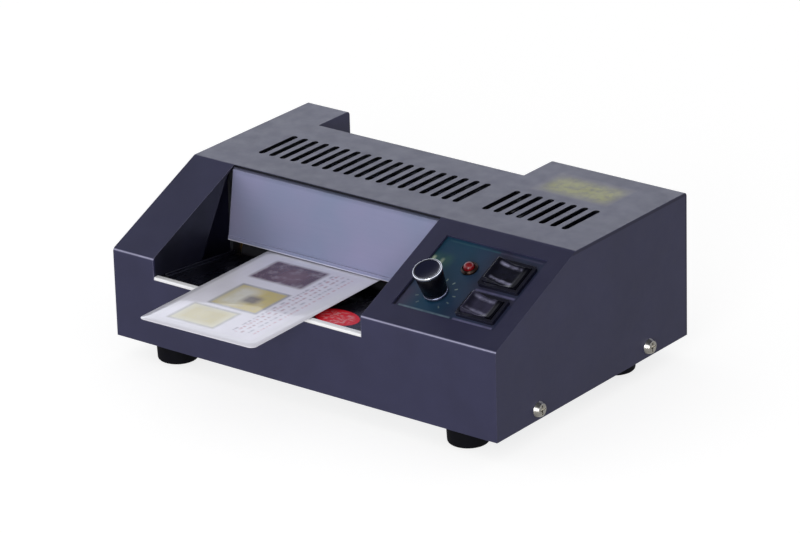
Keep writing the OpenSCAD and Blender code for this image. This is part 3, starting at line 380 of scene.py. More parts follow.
def settle(piece, material, body, replaces=()):
    """Gives a piece its material and its body, and hides the nodes it stands for."""
    piece.data.materials.clear()
    piece.data.materials.append(material)
    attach(piece, body)
    if replaces:
        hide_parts(*replaces)


def stand_for(piece, material, node):
    """Settles a piece that stands for one node, with that node's body."""
    settle(piece, material, NODE_BODY[node], [node])


# Points nearer than this are one, and faces flatter to each other than this are one.
SAME_POINT = 2e-6
FLAT_DEG = 0.6


def dressed(node, material, width_mm=0.2, segments=2):
    """A copy of a node with clean faces and rounded edges, which stands for it."""
    build = bmesh.new()
    build.from_mesh(NODES[node].data)
    bmesh.ops.remove_doubles(build, verts=build.verts, dist=SAME_POINT)
    bmesh.ops.dissolve_limit(build, angle_limit=math.radians(FLAT_DEG), verts=build.verts, edges=build.edges,
                             delimit={"NORMAL"})
    bmesh.ops.triangulate(build, faces=[face for face in build.faces if len(face.verts) > 4])
    piece = link(node + "_finished", to_mesh(build, node + "_finished", False))
    shade(piece)
    round_edges(piece, width_mm, segments)
    stand_for(piece, material, node)


def turned(profile, steps=96, closed=True, flute=None):
    """A mesh turned about Z from [radius, height] points in millimetres; flute(angle, i) changes a radius."""
    build = bmesh.new()
    rings = []
    for i, (radius, height) in enumerate(profile):
        ring = []
        for k in range(steps if radius > 0 else 1):
            angle = math.tau * k / steps
            r = radius + (flute(angle, i) if flute else 0.0)
            ring.append(build.verts.new((r * math.cos(angle) * MM, r * math.sin(angle) * MM, height * MM)))
        rings.append(ring)
    for low, high in zip(rings, rings[1:] + rings[:1] if closed else rings[1:]):
        bridge(build, low, high)
    return to_mesh(build, "turned")


def pad(width, length, radius, steps=6):
    """A rectangle with round corners, about its middle."""
    points = []
    for cx, cy, start in ((1, 1, 0), (-1, 1, 90), (-1, -1, 180), (1, -1, 270)):
        for i in range(steps + 1):
            angle = math.radians(start + 90 * i / steps)
            points.append((cx * (width / 2 - radius) + radius * math.cos(angle),
                           cy * (length / 2 - radius) + radius * math.sin(angle)))
    return points


# ---------------------------------------------------------------- finishes of this machine


# The blank rating label on the case's top and the ink on it, across and along, in millimetres.
LABEL = ((157.8, 200.5), (112.0, 136.6))
LABEL_INK = ((162.0, 197.5), (115.5, 132.0))
# Where the vent slots are, across and along.
SLOTS = ((22.0, 206.0), (78.0, 107.5))
# How far the front bend's painted highlight and the painted highlights on the mouth's cut edges reach to each side.
BEND_REACH, CUT_REACH = 0.45, 0.6
# How far back the mouth's cut edges run, and the shaded cheek inside it.
CUT_RUN, CHEEK_RUN = (-1.0, 60.0), (1.0, 61.5)
# Where the slope ends, and how its painted shade deepens along the machine: from and to, with the shares there.
SLOPE_END, SLOPE_SHADE = (60.5, 59.5), (20, 216, 0.1, 0.5)


# How much paler the enamel is where it mottles.
PALER = 1.18


def stoved_enamel(settings):
    """Stoved enamel on folded steel: navy, satin, with a fine orange peel, edges drawn thinner, painted highlights and
    painted shade.
    """
    made, tree, shader = fresh("stoved_enamel")
    x, y, z = frame_of(tree, Matrix.Translation(CORNER))
    paint, polish = settings.paint, settings.roughness
    # Painted highlight on the sharp edges, where the enamel also draws thinner.
    thin_and_lit = where_all(tree, worn_and_lit_edge(tree, 0.3), blotches(tree, 3, 0.03, 0.14, over=(0.3, 0.6)))
    # Painted highlight: a pale line along the front bend.
    bend_highlight = patch(tree, (y, z), (-BEND_REACH, BEND_REACH), (FRONT_WALL_H - BEND_REACH, FRONT_WALL_H + BEND_REACH), 0.5)
    # Painted highlights along the mouth's two cut edges.
    cut_edge_highlights = [where_all(tree, between(tree, x, side - CUT_REACH, side + CUT_REACH, 0.3), worn_and_lit_edge(tree, 0.3),
                      between(tree, y, *CUT_RUN, 1.0)) for side in MOUTH_X]
    # The left cheek inside the mouth lies in shade.
    inside = where_all(tree, between(tree, x, MOUTH_X[0] - CUT_REACH, MOUTH_X[0] + CUT_REACH, 0.2),
                       between(tree, y, *CHEEK_RUN, 1.0), facing(tree, "X", 0.7, 0.9), blotches(tree, 20, 0.8, 0.95))
    # Painted shade on the walls of the vent slots.
    slot_wall_shade = where_all(tree, patch(tree, (x, y), *SLOTS, 0.5), facing(tree, "Z", 0.8, 0.4))
    # Painted shade: the cover's front edge over the shield, near black.
    lip = where_all(tree, patch(tree, (y, x), (SLOPE_RUN - 0.5, SLOPE_RUN + 0.25), MOUTH_X, 0.2),
                    between(tree, z, CASE_H - 2.0, CASE_H - 0.2, 0.2))
    # Painted shade: the upward faces in front of the slope's top end, deeper to the right.
    slope = where_all(tree, facing(tree, "Z", 0.5, 0.7), fading(tree, y, *SLOPE_END),
                      fading(tree, x, *SLOPE_SHADE))
    # Painted shade: narrow dark lines below the top bend and before the rear bend of the right side.
    bend_shade_lines = [where_all(tree, between(tree, x, CASE_W - 0.4, CASE_W + 1.0, 0.2), between(tree, way, low, high, 0.4),
                         facing(tree, "X", 0.8, 0.95), 0.9)
               for way, low, high in ((z, CASE_H - 1.7, CASE_H - 0.3), (y, CASE_D - 1.1, CASE_D))]
    on_top = between(tree, z, CASE_H - 0.8, CASE_H + 1.2)
    label = where_all(tree, patch(tree, (x, y), *LABEL, 2.0), on_top, blotches(tree, 9, 0.15, 0.35))
    ink = where_all(tree, patch(tree, (x, y), *LABEL_INK, 6.5), on_top,
                    blotches(tree, 3.2, 0.45, 1.0, 4.0, (0.3, 0.6)))
    colour = layered(tree, (*paint, 1.0), (blotches(tree, 26, detail=4.0, over=(0.35, 0.65)),
                     (*[channel * PALER for channel in paint], 1.0)), (thin_and_lit, "#8d8ca6"),
                     (where_all(tree, bend_highlight, blotches(tree, 9, 0.7, 1.0)), "#c2c0de"), (cut_edge_highlights[0], "#8583a0"),
                     (cut_edge_highlights[1], "#8583a0"), (inside, "#06060f"), (slot_wall_shade, "#030309"), (lip, "#08080e"),
                     (slope, "#1c1b36"), (bend_shade_lines[0], "#131230"), (bend_shade_lines[1], "#131230"), (label, "#726d68"),
                     (ink, "#8b8b45"))
    peel = where_all(tree, noise(tree, 1.1, 2.0), 0.6)
    give(shader, tree, colour, blotches(tree, 6, polish - 0.04, polish + 0.04), peel, 0.012,
         specular_ior_level=settings.specular)
    return made


def satin_anodised(settings, node):
    """Anodised aluminium sheet: lavender grey and satin, with a faint grain along it, painted shade at its top and left
    corner, and a painted highlight along its hemmed foot.
    """
    made, tree, shader = fresh("satin_anodised_" + node)
    low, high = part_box(node)
    x, _, z = frame_of(tree, Matrix.Translation(low))
    wide, _, tall = (high - low) / MM
    red, green, blue = settings.shield
    grain = {"stretch": (0.05, 1.0, 1.0)}
    cloudy = {"size_mm": 38, "detail": 2.0}
    # Painted highlight on the sheet's edges, with some wear.
    worn_and_lit = where_all(tree, worn_and_lit_edge(tree, 0.4), blotches(tree, 0.9, 0.2, 0.6, over=(0.2, 0.7), **grain))
    shaded = where_all(tree, between(tree, z, tall - 1.2, tall + 3.0, 1.6),
                       blotches(tree, low=0.2, high=0.35, **cloudy))
    # Painted shade along the left side, by the tower.
    corner = where_all(tree, between(tree, x, -2.0, 0.6, 3.0), blotches(tree, low=0.5, high=0.7, **cloudy))
    # Painted highlight along the folded bottom edge.
    hem_highlight = where_all(tree, between(tree, z, -0.5, 0.5, 0.5), between(tree, x, 2.0, wide, 1.0),
                    blotches(tree, 0.9, 0.6, 1.0, over=(0.2, 0.7), **grain))
    colour = layered(tree, (red, green, blue, 1.0), (blotches(tree, **cloudy), (red * 0.82, green * 0.98, blue * 0.95,
                     1.0)), (worn_and_lit, "#d9d8ec"), (shaded, "#4b5468"), (corner, "#4d4b63"), (hem_highlight, "#f0effc"))
    give(shader, tree, colour, blotches(tree, 0.9, 0.42, 0.54, **grain), noise(tree, 0.9, **grain), 0.006,
         metallic=0.35, specular_ior_level=0.5)
    return made


# The oval sticker on the feed table: its middle and half its sizes in millimetres, and how far it is turned.
STICKER_AT = (120.5, 14.5)
STICKER_HALF = (12.5, 9.5)
STICKER_TURN = math.radians(-25)
STICKER_CORE = 0.75


def oval(tree, place, half, soft=0.04):
    """1 inside an ellipse about a place's origin, with a soft rim as a share of its size."""
    ways = [add_node(tree, "ShaderNodeMath", {0: place[axis], 1: size * MM}, operation="DIVIDE").outputs["Value"]
            for axis, size in zip("XY", half)]
    reach = add_node(tree, "ShaderNodeMath", {0: where_all(tree, ways[0], ways[0]), 1: where_all(tree, ways[1],
                     ways[1])}).outputs["Value"]
    return add_node(tree, "ShaderNodeMapRange", {"Value": reach, "From Min": 1.0 + soft, "From Max": 1.0 - soft}
                    ).outputs["Result"]


def black_enamel():
    """Black enamel on a table: smooth, polished by the pouches that slide on it, with a plain red vinyl oval."""
    made, tree, shader = fresh("black_table_enamel")
    rub = {"size_mm": 3.5, "detail": 4.0, "stretch": (1.0, 0.12, 1.0)}
    place = frame_of(tree, Matrix.Translation(at(*STICKER_AT, 0)) @ Matrix.Rotation(STICKER_TURN, 4, "Z"))
    vinyl = where_all(tree, oval(tree, place, STICKER_HALF), facing(tree, "Z", 0.5, 0.8))
    core = oval(tree, place, [size * STICKER_CORE for size in STICKER_HALF], 0.3)
    print_ink = layered(tree, linear("#ff2034"), (where_all(tree, blotches(tree, 2.2, detail=4.0, over=(0.47, 0.6)),
                        core), "#ffa6aa"))
    # The table's edges are paled: wear, and a painted highlight.
    colour = layered(tree, linear("#05050d"), (blotches(tree, over=(0.35, 0.75), **rub), "#0c0c16"),
                     (worn_and_lit_edge(tree, 0.35), "#2a2a38"), (vinyl, print_ink))
    rough = add_node(tree, "ShaderNodeMath", {0: blotches(tree, low=0.22, high=0.34, **rub), 1: where_all(tree, vinyl,
                     0.14)}).outputs["Value"]
    rise = add_node(tree, "ShaderNodeMath", {0: noise(tree, 1.0), 1: where_all(tree, vinyl, 3.0)}).outputs["Value"]
    give(shader, tree, colour, rough, rise, 0.02, specular_ior_level=0.4)
    return made


# The knob stands on the slope at these millimetres along and up it.
KNOB_AT = (171.2, 24.0)
# Where the film goes from teal to grey and where its lower left greys, and how the scale fades up the slope.
FILM_TURNS, GREY_ACROSS, GREY_UP, SCALE_FADES = (170, 190), (167, 158), (32, 22), (20, 34, 0.2, 0.5)
# Lines on the panel: along and up the slope in millimetres, with the colour and how softly it ends. The two
# near-black strips along its left edge are painted shadow of the window's wall.
PANEL_LINES = (((154.5, 166.0), (39.5, 47.0), "#2f5552", 4.0), ((155.8, 157.3), (41.0, 45.0), "#aab8a0", 1.3),
         ((160.8, 162.2), (41.0, 44.6), "#98a894", 1.3), ((154.5, 156.2), (11.0, 30.0), "#05050c", 0.6),
         ((154.5, 155.6), (30.0, 57.0), "#0c141d", 0.5), ((157.5, 186.0), (12.3, 13.3), "#6f8494", 0.6),
         ((158.0, 186.0), (55.2, 56.0), "#2c4f5e", 0.5), ((186.0, 209.0), (55.2, 56.0), "#45435c", 0.5),
         ((187.5, 209.0), (31.4, 32.6), "#67658a", 0.7), ((187.5, 209.0), (12.2, 13.4), "#76749a", 0.7))
# The scale runs this many degrees to each side of the knob's middle, from this radius.
SCALE_TURN = 140.0
SCALE_RADIUS = 8.4


def scale_marks(tree, place, count, length_mm):
    """1 on the marks printed round the knob."""
    off = [add_node(tree, "ShaderNodeMath", {0: place[axis], 1: value * MM}, operation="SUBTRACT").outputs["Value"]
           for axis, value in zip("XY", KNOB_AT)]
    turn = add_node(tree, "ShaderNodeMath", {0: off[0], 1: off[1]}, operation="ARCTAN2").outputs["Value"]
    spot = add_node(tree, "ShaderNodeCombineXYZ", {"X": off[0], "Y": off[1]}).outputs["Vector"]
    reach = add_node(tree, "ShaderNodeVectorMath", {0: spot}, operation="LENGTH").outputs["Value"]
    step = math.radians(2 * SCALE_TURN / (count - 1))
    part = turn
    for operation, value in (("ADD", math.radians(SCALE_TURN) + step / 2), ("DIVIDE", step), ("FRACT", 0.0),
                             ("SUBTRACT", 0.5), ("ABSOLUTE", 0.0)):
        part = add_node(tree, "ShaderNodeMath", {0: part, 1: value}, operation=operation).outputs["Value"]
    mark = add_node(tree, "ShaderNodeMapRange", {"Value": part, "From Min": 0.09, "From Max": 0.05}).outputs["Result"]
    turned_by = add_node(tree, "ShaderNodeMath", {0: turn}, operation="ABSOLUTE").outputs["Value"]
    within = add_node(tree, "ShaderNodeMapRange", {"Value": turned_by, "From Min": math.radians(SCALE_TURN + 4),
                      "From Max": math.radians(SCALE_TURN + 3)}).outputs["Result"]
    return where_all(tree, mark, within, between(tree, reach, SCALE_RADIUS, SCALE_RADIUS + length_mm, 0.3))


def panel_film(settings):
    """Polycarbonate panel film: teal that greys to the right, back printed, with plain lines, a scale and painted
    shadow along its left edge.
    """
    made, tree, shader = fresh("polycarbonate_panel_film")
    place = frame_of(tree, on_slope(0, 0, PANEL_DEPTH))
    x, y = place["X"], place["Y"]
    low_left = where_all(tree, fading(tree, x, *GREY_ACROSS), fading(tree, y, *GREY_UP))
    # Among these lines, the near-black strips at the left edge are painted shadow.
    panel_marks = [(where_all(tree, patch(tree, place, across, up, soft), blotches(tree, 4, 0.5, 1.0)), ink)
             for across, up, ink, soft in PANEL_LINES]
    marks = where_all(tree, scale_marks(tree, place, settings.ticks, settings.tick_length / MM),
                      fading(tree, y, *SCALE_FADES))
    colour = layered(tree, (*settings.film, 1.0), (fading(tree, x, *FILM_TURNS), (*settings.film_right, 1.0)),
                     (blotches(tree, 12, 0.0, 0.5, over=(0.35, 0.7)), "#203a56"), (low_left, "#3a3a50"), *panel_marks,
                     (marks, "#a9bbb0"))
    give(shader, tree, colour, blotches(tree, 0.5, 0.34, 0.44, 2.0), noise(tree, 0.35), 0.004,
         specular_ior_level=0.28)
    return made


# Where the painted highlights on a key's rims lie: how far out as a share of half its width, and the length
# and width in millimetres.
RIM_HIGHLIGHT_OUT = 0.68
RIM_HIGHLIGHT_X = (-6.2, 4.8)
RIM_HIGHLIGHT_WIDE = 1.3
# A key's matt end, which also carries painted shade, begins and is whole this far from its tip.
KEY_MATT = (4.6, 3.2)


def key_nylon(where, long, wide, rim_highlight, pale_sheen):
    """A rocker key: black nylon, glossy but for its matt outer end, with painted shade there, painted highlights along
    both its rims and a painted pale sheen.
    """
    made, tree, shader = fresh("highlit_switch_nylon_" + str(round(wide)))
    place = frame_of(tree, where)
    end = add_node(tree, "ShaderNodeMath", {0: facing(tree, "X", 0.35, 0.7), 1: fading(tree, place["X"],
                   long - KEY_MATT[0], long - KEY_MATT[1])}, operation="MAXIMUM").outputs["Value"]
    # Painted highlight on the key's sharp edges, with some wear.
    rims = where_all(tree, worn_and_lit_edge(tree, 0.25), blotches(tree, 2, 0.15, 0.4))
    # Painted reflection: a pale sheen over the key, strongest on the lower one.
    colour = layered(tree, linear("#090915"), (blotches(tree, 3, over=(0.35, 0.7)), "#141426"),
                     (blotches(tree, 4, pale_sheen * 0.5, pale_sheen), "#4e4a66"), (rims, "#4c4b66"))
    # Painted highlights: pale strokes along both rims, near the key's middle.
    for side in (-1, 1):
        middle = side * wide * RIM_HIGHLIGHT_OUT
        rub = patch(tree, place, RIM_HIGHLIGHT_X, (middle - RIM_HIGHLIGHT_WIDE / 2, middle + RIM_HIGHLIGHT_WIDE / 2), 1.1)
        rub = where_all(tree, rub, blotches(tree, 3.4, 0.12 * rim_highlight, rim_highlight, over=(0.38, 0.6)))
        colour = layered(tree, colour, (rub, "#9a99b6"))
    for key, glossy, matt in (("Specular IOR Level", 0.45, 0.03), ("Coat Weight", 0.3, 0.0)):
        level = add_node(tree, "ShaderNodeMapRange", {"Value": end, "To Min": glossy, "To Max": matt})
        tree.links.new(level.outputs["Result"], shader.inputs[key])
    # Painted shade: the outer end and the faces that look to the right made darker.
    colour = layered(tree, colour, (end, "#07070f"))
    give(shader, tree, colour, blotches(tree, 3, 0.14, 0.22), noise(tree, 0.5), 0.002)
    return made


# The copper tracks of a board, in millimetres: how long and how far apart they run, and the gap that shows.
TRACK_LONG, TRACK_PITCH, TRACK_GAP = 7.5, 1.9, 0.22


def solder_mask():
    """A printed circuit board: green solder mask with paler copper tracks under it."""
    made, tree, shader = fresh("solder_mask_board")
    place = add_node(tree, "ShaderNodeTexCoord").outputs["Object"]
    cells = add_node(tree, "ShaderNodeTexBrick", {"Vector": place, "Scale": per_metre(1.0), "Mortar Size": TRACK_GAP,
                     "Brick Width": TRACK_LONG, "Row Height": TRACK_PITCH, "Color1": (0, 0, 0, 1),
                     "Color2": (0, 0, 0, 1), "Mortar": (1, 1, 1, 1)}).outputs["Color"]
    # Paler board edges: the board's own edge colour, with a painted highlight.
    colour = layered(tree, linear("#154d2e"), (cells, "#2f7a4d"), (worn_and_lit_edge(tree, 0.3), "#b9ae74"))
    give(shader, tree, colour, blotches(tree, 2.0, 0.24, 0.34), cells, 0.02)
    return made


def epoxy_lens():
    """The lens of a red indicator: diffusing dyed epoxy, glossy, with a small glow of its own."""
    made, tree, shader = fresh("dyed_epoxy_lens")
    colour = layered(tree, linear("#8a0d16"), (blotches(tree, 1.6), "#4c070e"))
    give(shader, tree, colour, blotches(tree, 1.0, 0.24, 0.36), noise(tree, 1.2), 0.004, coat_weight=0.05,
         emission_color=linear("#ff1a20"), emission_strength=0.01)
    return made


def lacquered_brass():
    """The lamp's bezel: gold lacquered brass, dulled."""
    made, tree, shader = fresh("lacquered_brass")
    colour = layered(tree, linear("#3a2b22"), (blotches(tree, 1.4), "#1f1715"))
    give(shader, tree, colour, blotches(tree, 0.8, 0.24, 0.4), noise(tree, 0.4), 0.004, metallic=0.9)
    return made


def knob_plastic(settings):
    """The knob: moulded ABS, black and glossy, with a finely ribbed grip."""
    made, tree, shader = fresh("moulded_black_abs")
    # Painted highlight on the knob's edges, with some wear.
    worn_and_lit = where_all(tree, worn_and_lit_edge(tree, 0.2), blotches(tree, 2, 0.2, 0.6))
    # Painted reflection: the knob's upward faces lighter and bluish.
    colour = layered(tree, (*settings.knob, 1.0), (blotches(tree, 2.5, over=(0.35, 0.7)), "#07070e"),
                     (facing(tree, "Z", 0.6, 0.8), "#191b2f"), (worn_and_lit, "#23232f"))
    give(shader, tree, colour, blotches(tree, 1.2, 0.18, 0.26), noise(tree, 0.5), 0.002, specular_ior_level=0.22)
    return made


# The pouch's sizes in millimetres, where its front left corner lies, how far it is out and how far it is turned.
POUCH_W, POUCH_L, POUCH_R, POUCH_T = 65.5, 98.0, 3.0, 0.7
POUCH_LEFT, POUCH_OUT, POUCH_TURN = 51.2, 42.5, math.radians(1.5)
# Plain printed blocks on the card: across and along it in millimetres, ink, softness and cover.
PRINTED = (((10.0, 37.0), (7.5, 28.5), "#77734a", 1.6, 0.6), ((11.4, 35.6), (8.9, 27.1), "#e3dfc0", 1.4, 0.95),
           ((13.5, 33.5), (11.0, 25.0), "#cfc27c", 4.0, 0.65), ((15.0, 43.0), (31.0, 58.0), "#66646c", 1.4, 0.7),
           ((16.4, 41.6), (32.4, 56.6), "#d2c06a", 1.4, 0.95), ((17.0, 29.0), (34.0, 55.0), "#e4e2d8", 7.0, 0.95),
           ((27.0, 35.0), (40.0, 48.0), "#5b5560", 3.5, 0.8), ((12.0, 42.0), (66.0, 88.0), "#5a3947", 2.6, 1.0),
           ((23.0, 36.0), (69.0, 83.0), "#7f5f69", 6.0, 0.6))
# Plain printed lines: their place across the card, how long their words run, and the ink.
LINES = (((44.6, 45.8), 3.1, "#8d7f97"), ((46.4, 47.8), 2.3, "#b4728c"), ((49.4, 50.6), 2.7, "#a06a80"),
         ((52.4, 53.6), 3.4, "#9a97ad"), ((55.4, 56.4), 2.1, "#c98ba0"))
# How far the lines stay from the card's front and rear ends.
LINES_FROM_FRONT, LINES_FROM_REAR = 5.0, 4.0


def pouch_place():
    low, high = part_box("laminating_pouch")
    corner = at(POUCH_LEFT, -POUCH_OUT, 0)
    corner.z = (low.z + high.z) / 2
    return Matrix.Translation(corner) @ Matrix.Rotation(POUCH_TURN, 4, "Z")


def laminated_card(settings):
    """A laminated card: clear polyester film, milky at its margins, over a pale card with plain printed blocks."""
    made, tree, shader = fresh("laminated_card")
    place = frame_of(tree, pouch_place())
    side = (POUCH_W - settings.card_width / MM) / 2
    end = (POUCH_L - settings.card_length / MM) / 2
    layers = [(blotches(tree, 14), tuple(c * 0.93 for c in settings.card) + (1.0,))]
    for x, y, ink, soft, cover in PRINTED:
        layers.append((where_all(tree, patch(tree, place, x, y, soft), blotches(tree, 5.0, cover * 0.7, cover,
                       over=(0.25, 0.5))), ink))
    for x, pitch, ink in LINES:
        along = add_node(tree, "ShaderNodeMath", {0: place["Y"], 1: per_metre(pitch)}, operation="MULTIPLY")
        words = add_node(tree, "ShaderNodeTexNoise", {"W": along.outputs["Value"], "Scale": 1.0, "Detail": 2.0},
                         noise_dimensions="1D").outputs["Fac"]
        words = add_node(tree, "ShaderNodeMapRange", {"Value": words, "From Min": 0.44, "From Max": 0.56,
                         "To Max": 0.6}).outputs["Result"]
        row = patch(tree, place, x, (end + LINES_FROM_FRONT, POUCH_L - end - LINES_FROM_REAR), 0.9)
        layers.append((where_all(tree, row, words), ink))
    on_card = patch(tree, place, (side, POUCH_W - side), (end, POUCH_L - end), 0.4)
    colour = layered(tree, (*settings.film, 1.0), (on_card, layered(tree, (*settings.card, 1.0), *layers)))
    give(shader, tree, colour, blotches(tree, 8.0, 0.16, 0.26), noise(tree, 7.0), 0.02, coat_weight=0.5,
         specular_ior_level=0.45)
    clear = add_node(tree, "ShaderNodeMapRange", {"Value": on_card, "To Min": settings.film_cover, "To Max": 1.0})
    tree.links.new(clear.outputs["Result"], shader.inputs["Alpha"])
    return made


# ---------------------------------------------------------------- sizes and colours that a user would change


class CaseSettings(bpy.types.PropertyGroup):
    """The folded case and its shields."""

    paint: bpy.props.FloatVectorProperty(name="Enamel", description="Colour of the case's stoved enamel",
                                         subtype="COLOR", min=0, max=1, default=linear("#2e2e49")[:3])
    roughness: bpy.props.FloatProperty(name="Enamel roughness", description="How far the enamel blurs what it mirrors",
                                       subtype="FACTOR", min=0.05, max=1, default=0.4)
    specular: bpy.props.FloatProperty(name="Enamel shine", description="How much the enamel mirrors",
                                      subtype="FACTOR", min=0, max=1, default=0.4)
    shield: bpy.props.FloatVectorProperty(name="Shields", description="Colour of the anodised shields",
                                          subtype="COLOR", min=0, max=1, default=linear("#918fae")[:3])
    edge: bpy.props.FloatProperty(name="Edge rounding", description="Radius left on the cut edges of the sheet",
                                  unit="LENGTH", min=0, max=0.0005, precision=5, default=0.2 * MM)


class PanelSettings(bpy.types.PropertyGroup):
    """The control panel and its knob."""

    film: bpy.props.FloatVectorProperty(name="Film, left", description="Colour of the panel film beside the mouth",
                                        subtype="COLOR", min=0, max=1, default=linear("#113a50")[:3])
    film_right: bpy.props.FloatVectorProperty(name="Film, right", description="Colour of the film at the switches",
                                              subtype="COLOR", min=0, max=1, default=linear("#2b2a40")[:3])
    knob: bpy.props.FloatVectorProperty(name="Knob", description="Colour of the knob", subtype="COLOR", min=0, max=1,
                                        default=linear("#030308")[:3])
    ribs: bpy.props.IntProperty(name="Knob ribs", description="Ribs round the knob's grip", min=0, max=80, default=48)
    ticks: bpy.props.IntProperty(name="Scale marks", description="Marks round the knob", min=2, max=31, default=11)
    tick_length: bpy.props.FloatProperty(name="Mark length", description="Length of one scale mark", unit="LENGTH",
                                         min=0.0005, max=0.003, precision=4, default=1.5 * MM)


class PouchSettings(bpy.types.PropertyGroup):
    """The laminating pouch and the card in it."""

    card_width: bpy.props.FloatProperty(name="Card width", description="Width of the card in the pouch",
                                        unit="LENGTH", min=0.03, max=0.062, default=54 * MM)
    card_length: bpy.props.FloatProperty(name="Card length", description="Length of the card in the pouch",
                                         unit="LENGTH", min=0.04, max=0.094, default=86 * MM)
    card: bpy.props.FloatVectorProperty(name="Card", description="Colour of the card", subtype="COLOR", min=0, max=1,
                                        default=linear("#f4f2ff")[:3])
    film: bpy.props.FloatVectorProperty(name="Film", description="Colour of the film's sealed margin",
                                        subtype="COLOR", min=0, max=1, default=linear("#f5f4ff")[:3])
    film_cover: bpy.props.FloatProperty(name="Film haze", subtype="FACTOR", min=0, max=1, default=0.94,
                                        description="How far the sealed margin hides what is under it")


class StageSettings(bpy.types.PropertyGroup):
    """The floor, the lamps and the sky."""

    floor_size: bpy.props.FloatProperty(name="Floor size", description="Side of the floor", unit="LENGTH", min=1,
                                        max=20, default=8.0)
    sky: bpy.props.FloatProperty(name="Sky light", description="Strength of the even light from all round", min=0,
                                 max=3, default=1.0)
    sky_right: bpy.props.FloatProperty(name="Sky light, right", description="Share of that light from the right", min=0,
                                       max=2, default=0.58)
    sky_above: bpy.props.FloatProperty(name="Sky light, above", description="Share of that light from overhead", min=0,
                                       max=2, default=0.6)
    key: bpy.props.FloatProperty(name="Key light", description="Power of the large soft lamp", unit="POWER", min=0,
                                 max=200, default=8.8)
    horizon: bpy.props.FloatProperty(name="Horizon", description="What glossy surfaces mirror near the horizon",
                                     min=0, max=3, default=1.85)
    zenith: bpy.props.FloatProperty(name="Zenith", description="What glossy surfaces mirror overhead", min=0, max=3,
                                    default=0.1)
    floor_white: bpy.props.FloatProperty(name="Floor glow", description="Light of the floor's own, to the eye", min=0,
                                         max=1, default=0.76)
    floor_mirror: bpy.props.FloatProperty(name="Floor in gloss", description="What glossy surfaces mirror of the floor",
                                          min=0, max=1, default=0.42)
    floor_bounce: bpy.props.FloatProperty(name="Floor bounce", description="How much light the floor throws back",
                                          min=0, max=1, default=0.8)


# ---------------------------------------------------------------- stage


# The camera's place from the case's corner in millimetres, and where its right, down and forward point.
CAMERA_PLACE = (1303.4, -1444.7, 813.2)
CAMERA_RIGHT = (0.79270, 0.60904, -0.02653)
CAMERA_DOWN = (0.20848, -0.31171, -0.92702)
CAMERA_AHEAD = (-0.57286, 0.72932, -0.37406)
SENSOR_MM = 36.0
LENS_MM = 202.96
CLIP = (0.01, 20.0)
LAMP_PLACE = Vector((0.55, -1.25, 0.27))
LAMP_SIZE = 0.8
# How pale the floor is where the machine's shadow falls on it.
FLOOR_SHADE = 0.42
# The heights, as sines, over which what gloss mirrors goes from the horizon to overhead, and its tint.
MIRRORED_FROM, MIRRORED_TO = 0.42, 0.72
MIRRORED_TINT = (0.93, 0.96, 1.07, 1)
# Where the sky's even light goes from the left's to the right's, and from the horizon's to that from above.
SIDE_FROM, SIDE_TO = -0.3, 0.7
ABOVE_FROM, ABOVE_TO = 0.1, 0.6


def seen_by_eye(tree, path):
    """1 for what the camera sees, straight or through a clear film."""
    return add_node(tree, "ShaderNodeMath", {0: path["Is Camera Ray"], 1: path["Is Transmission Ray"]},
                    operation="MAXIMUM").outputs["Value"]


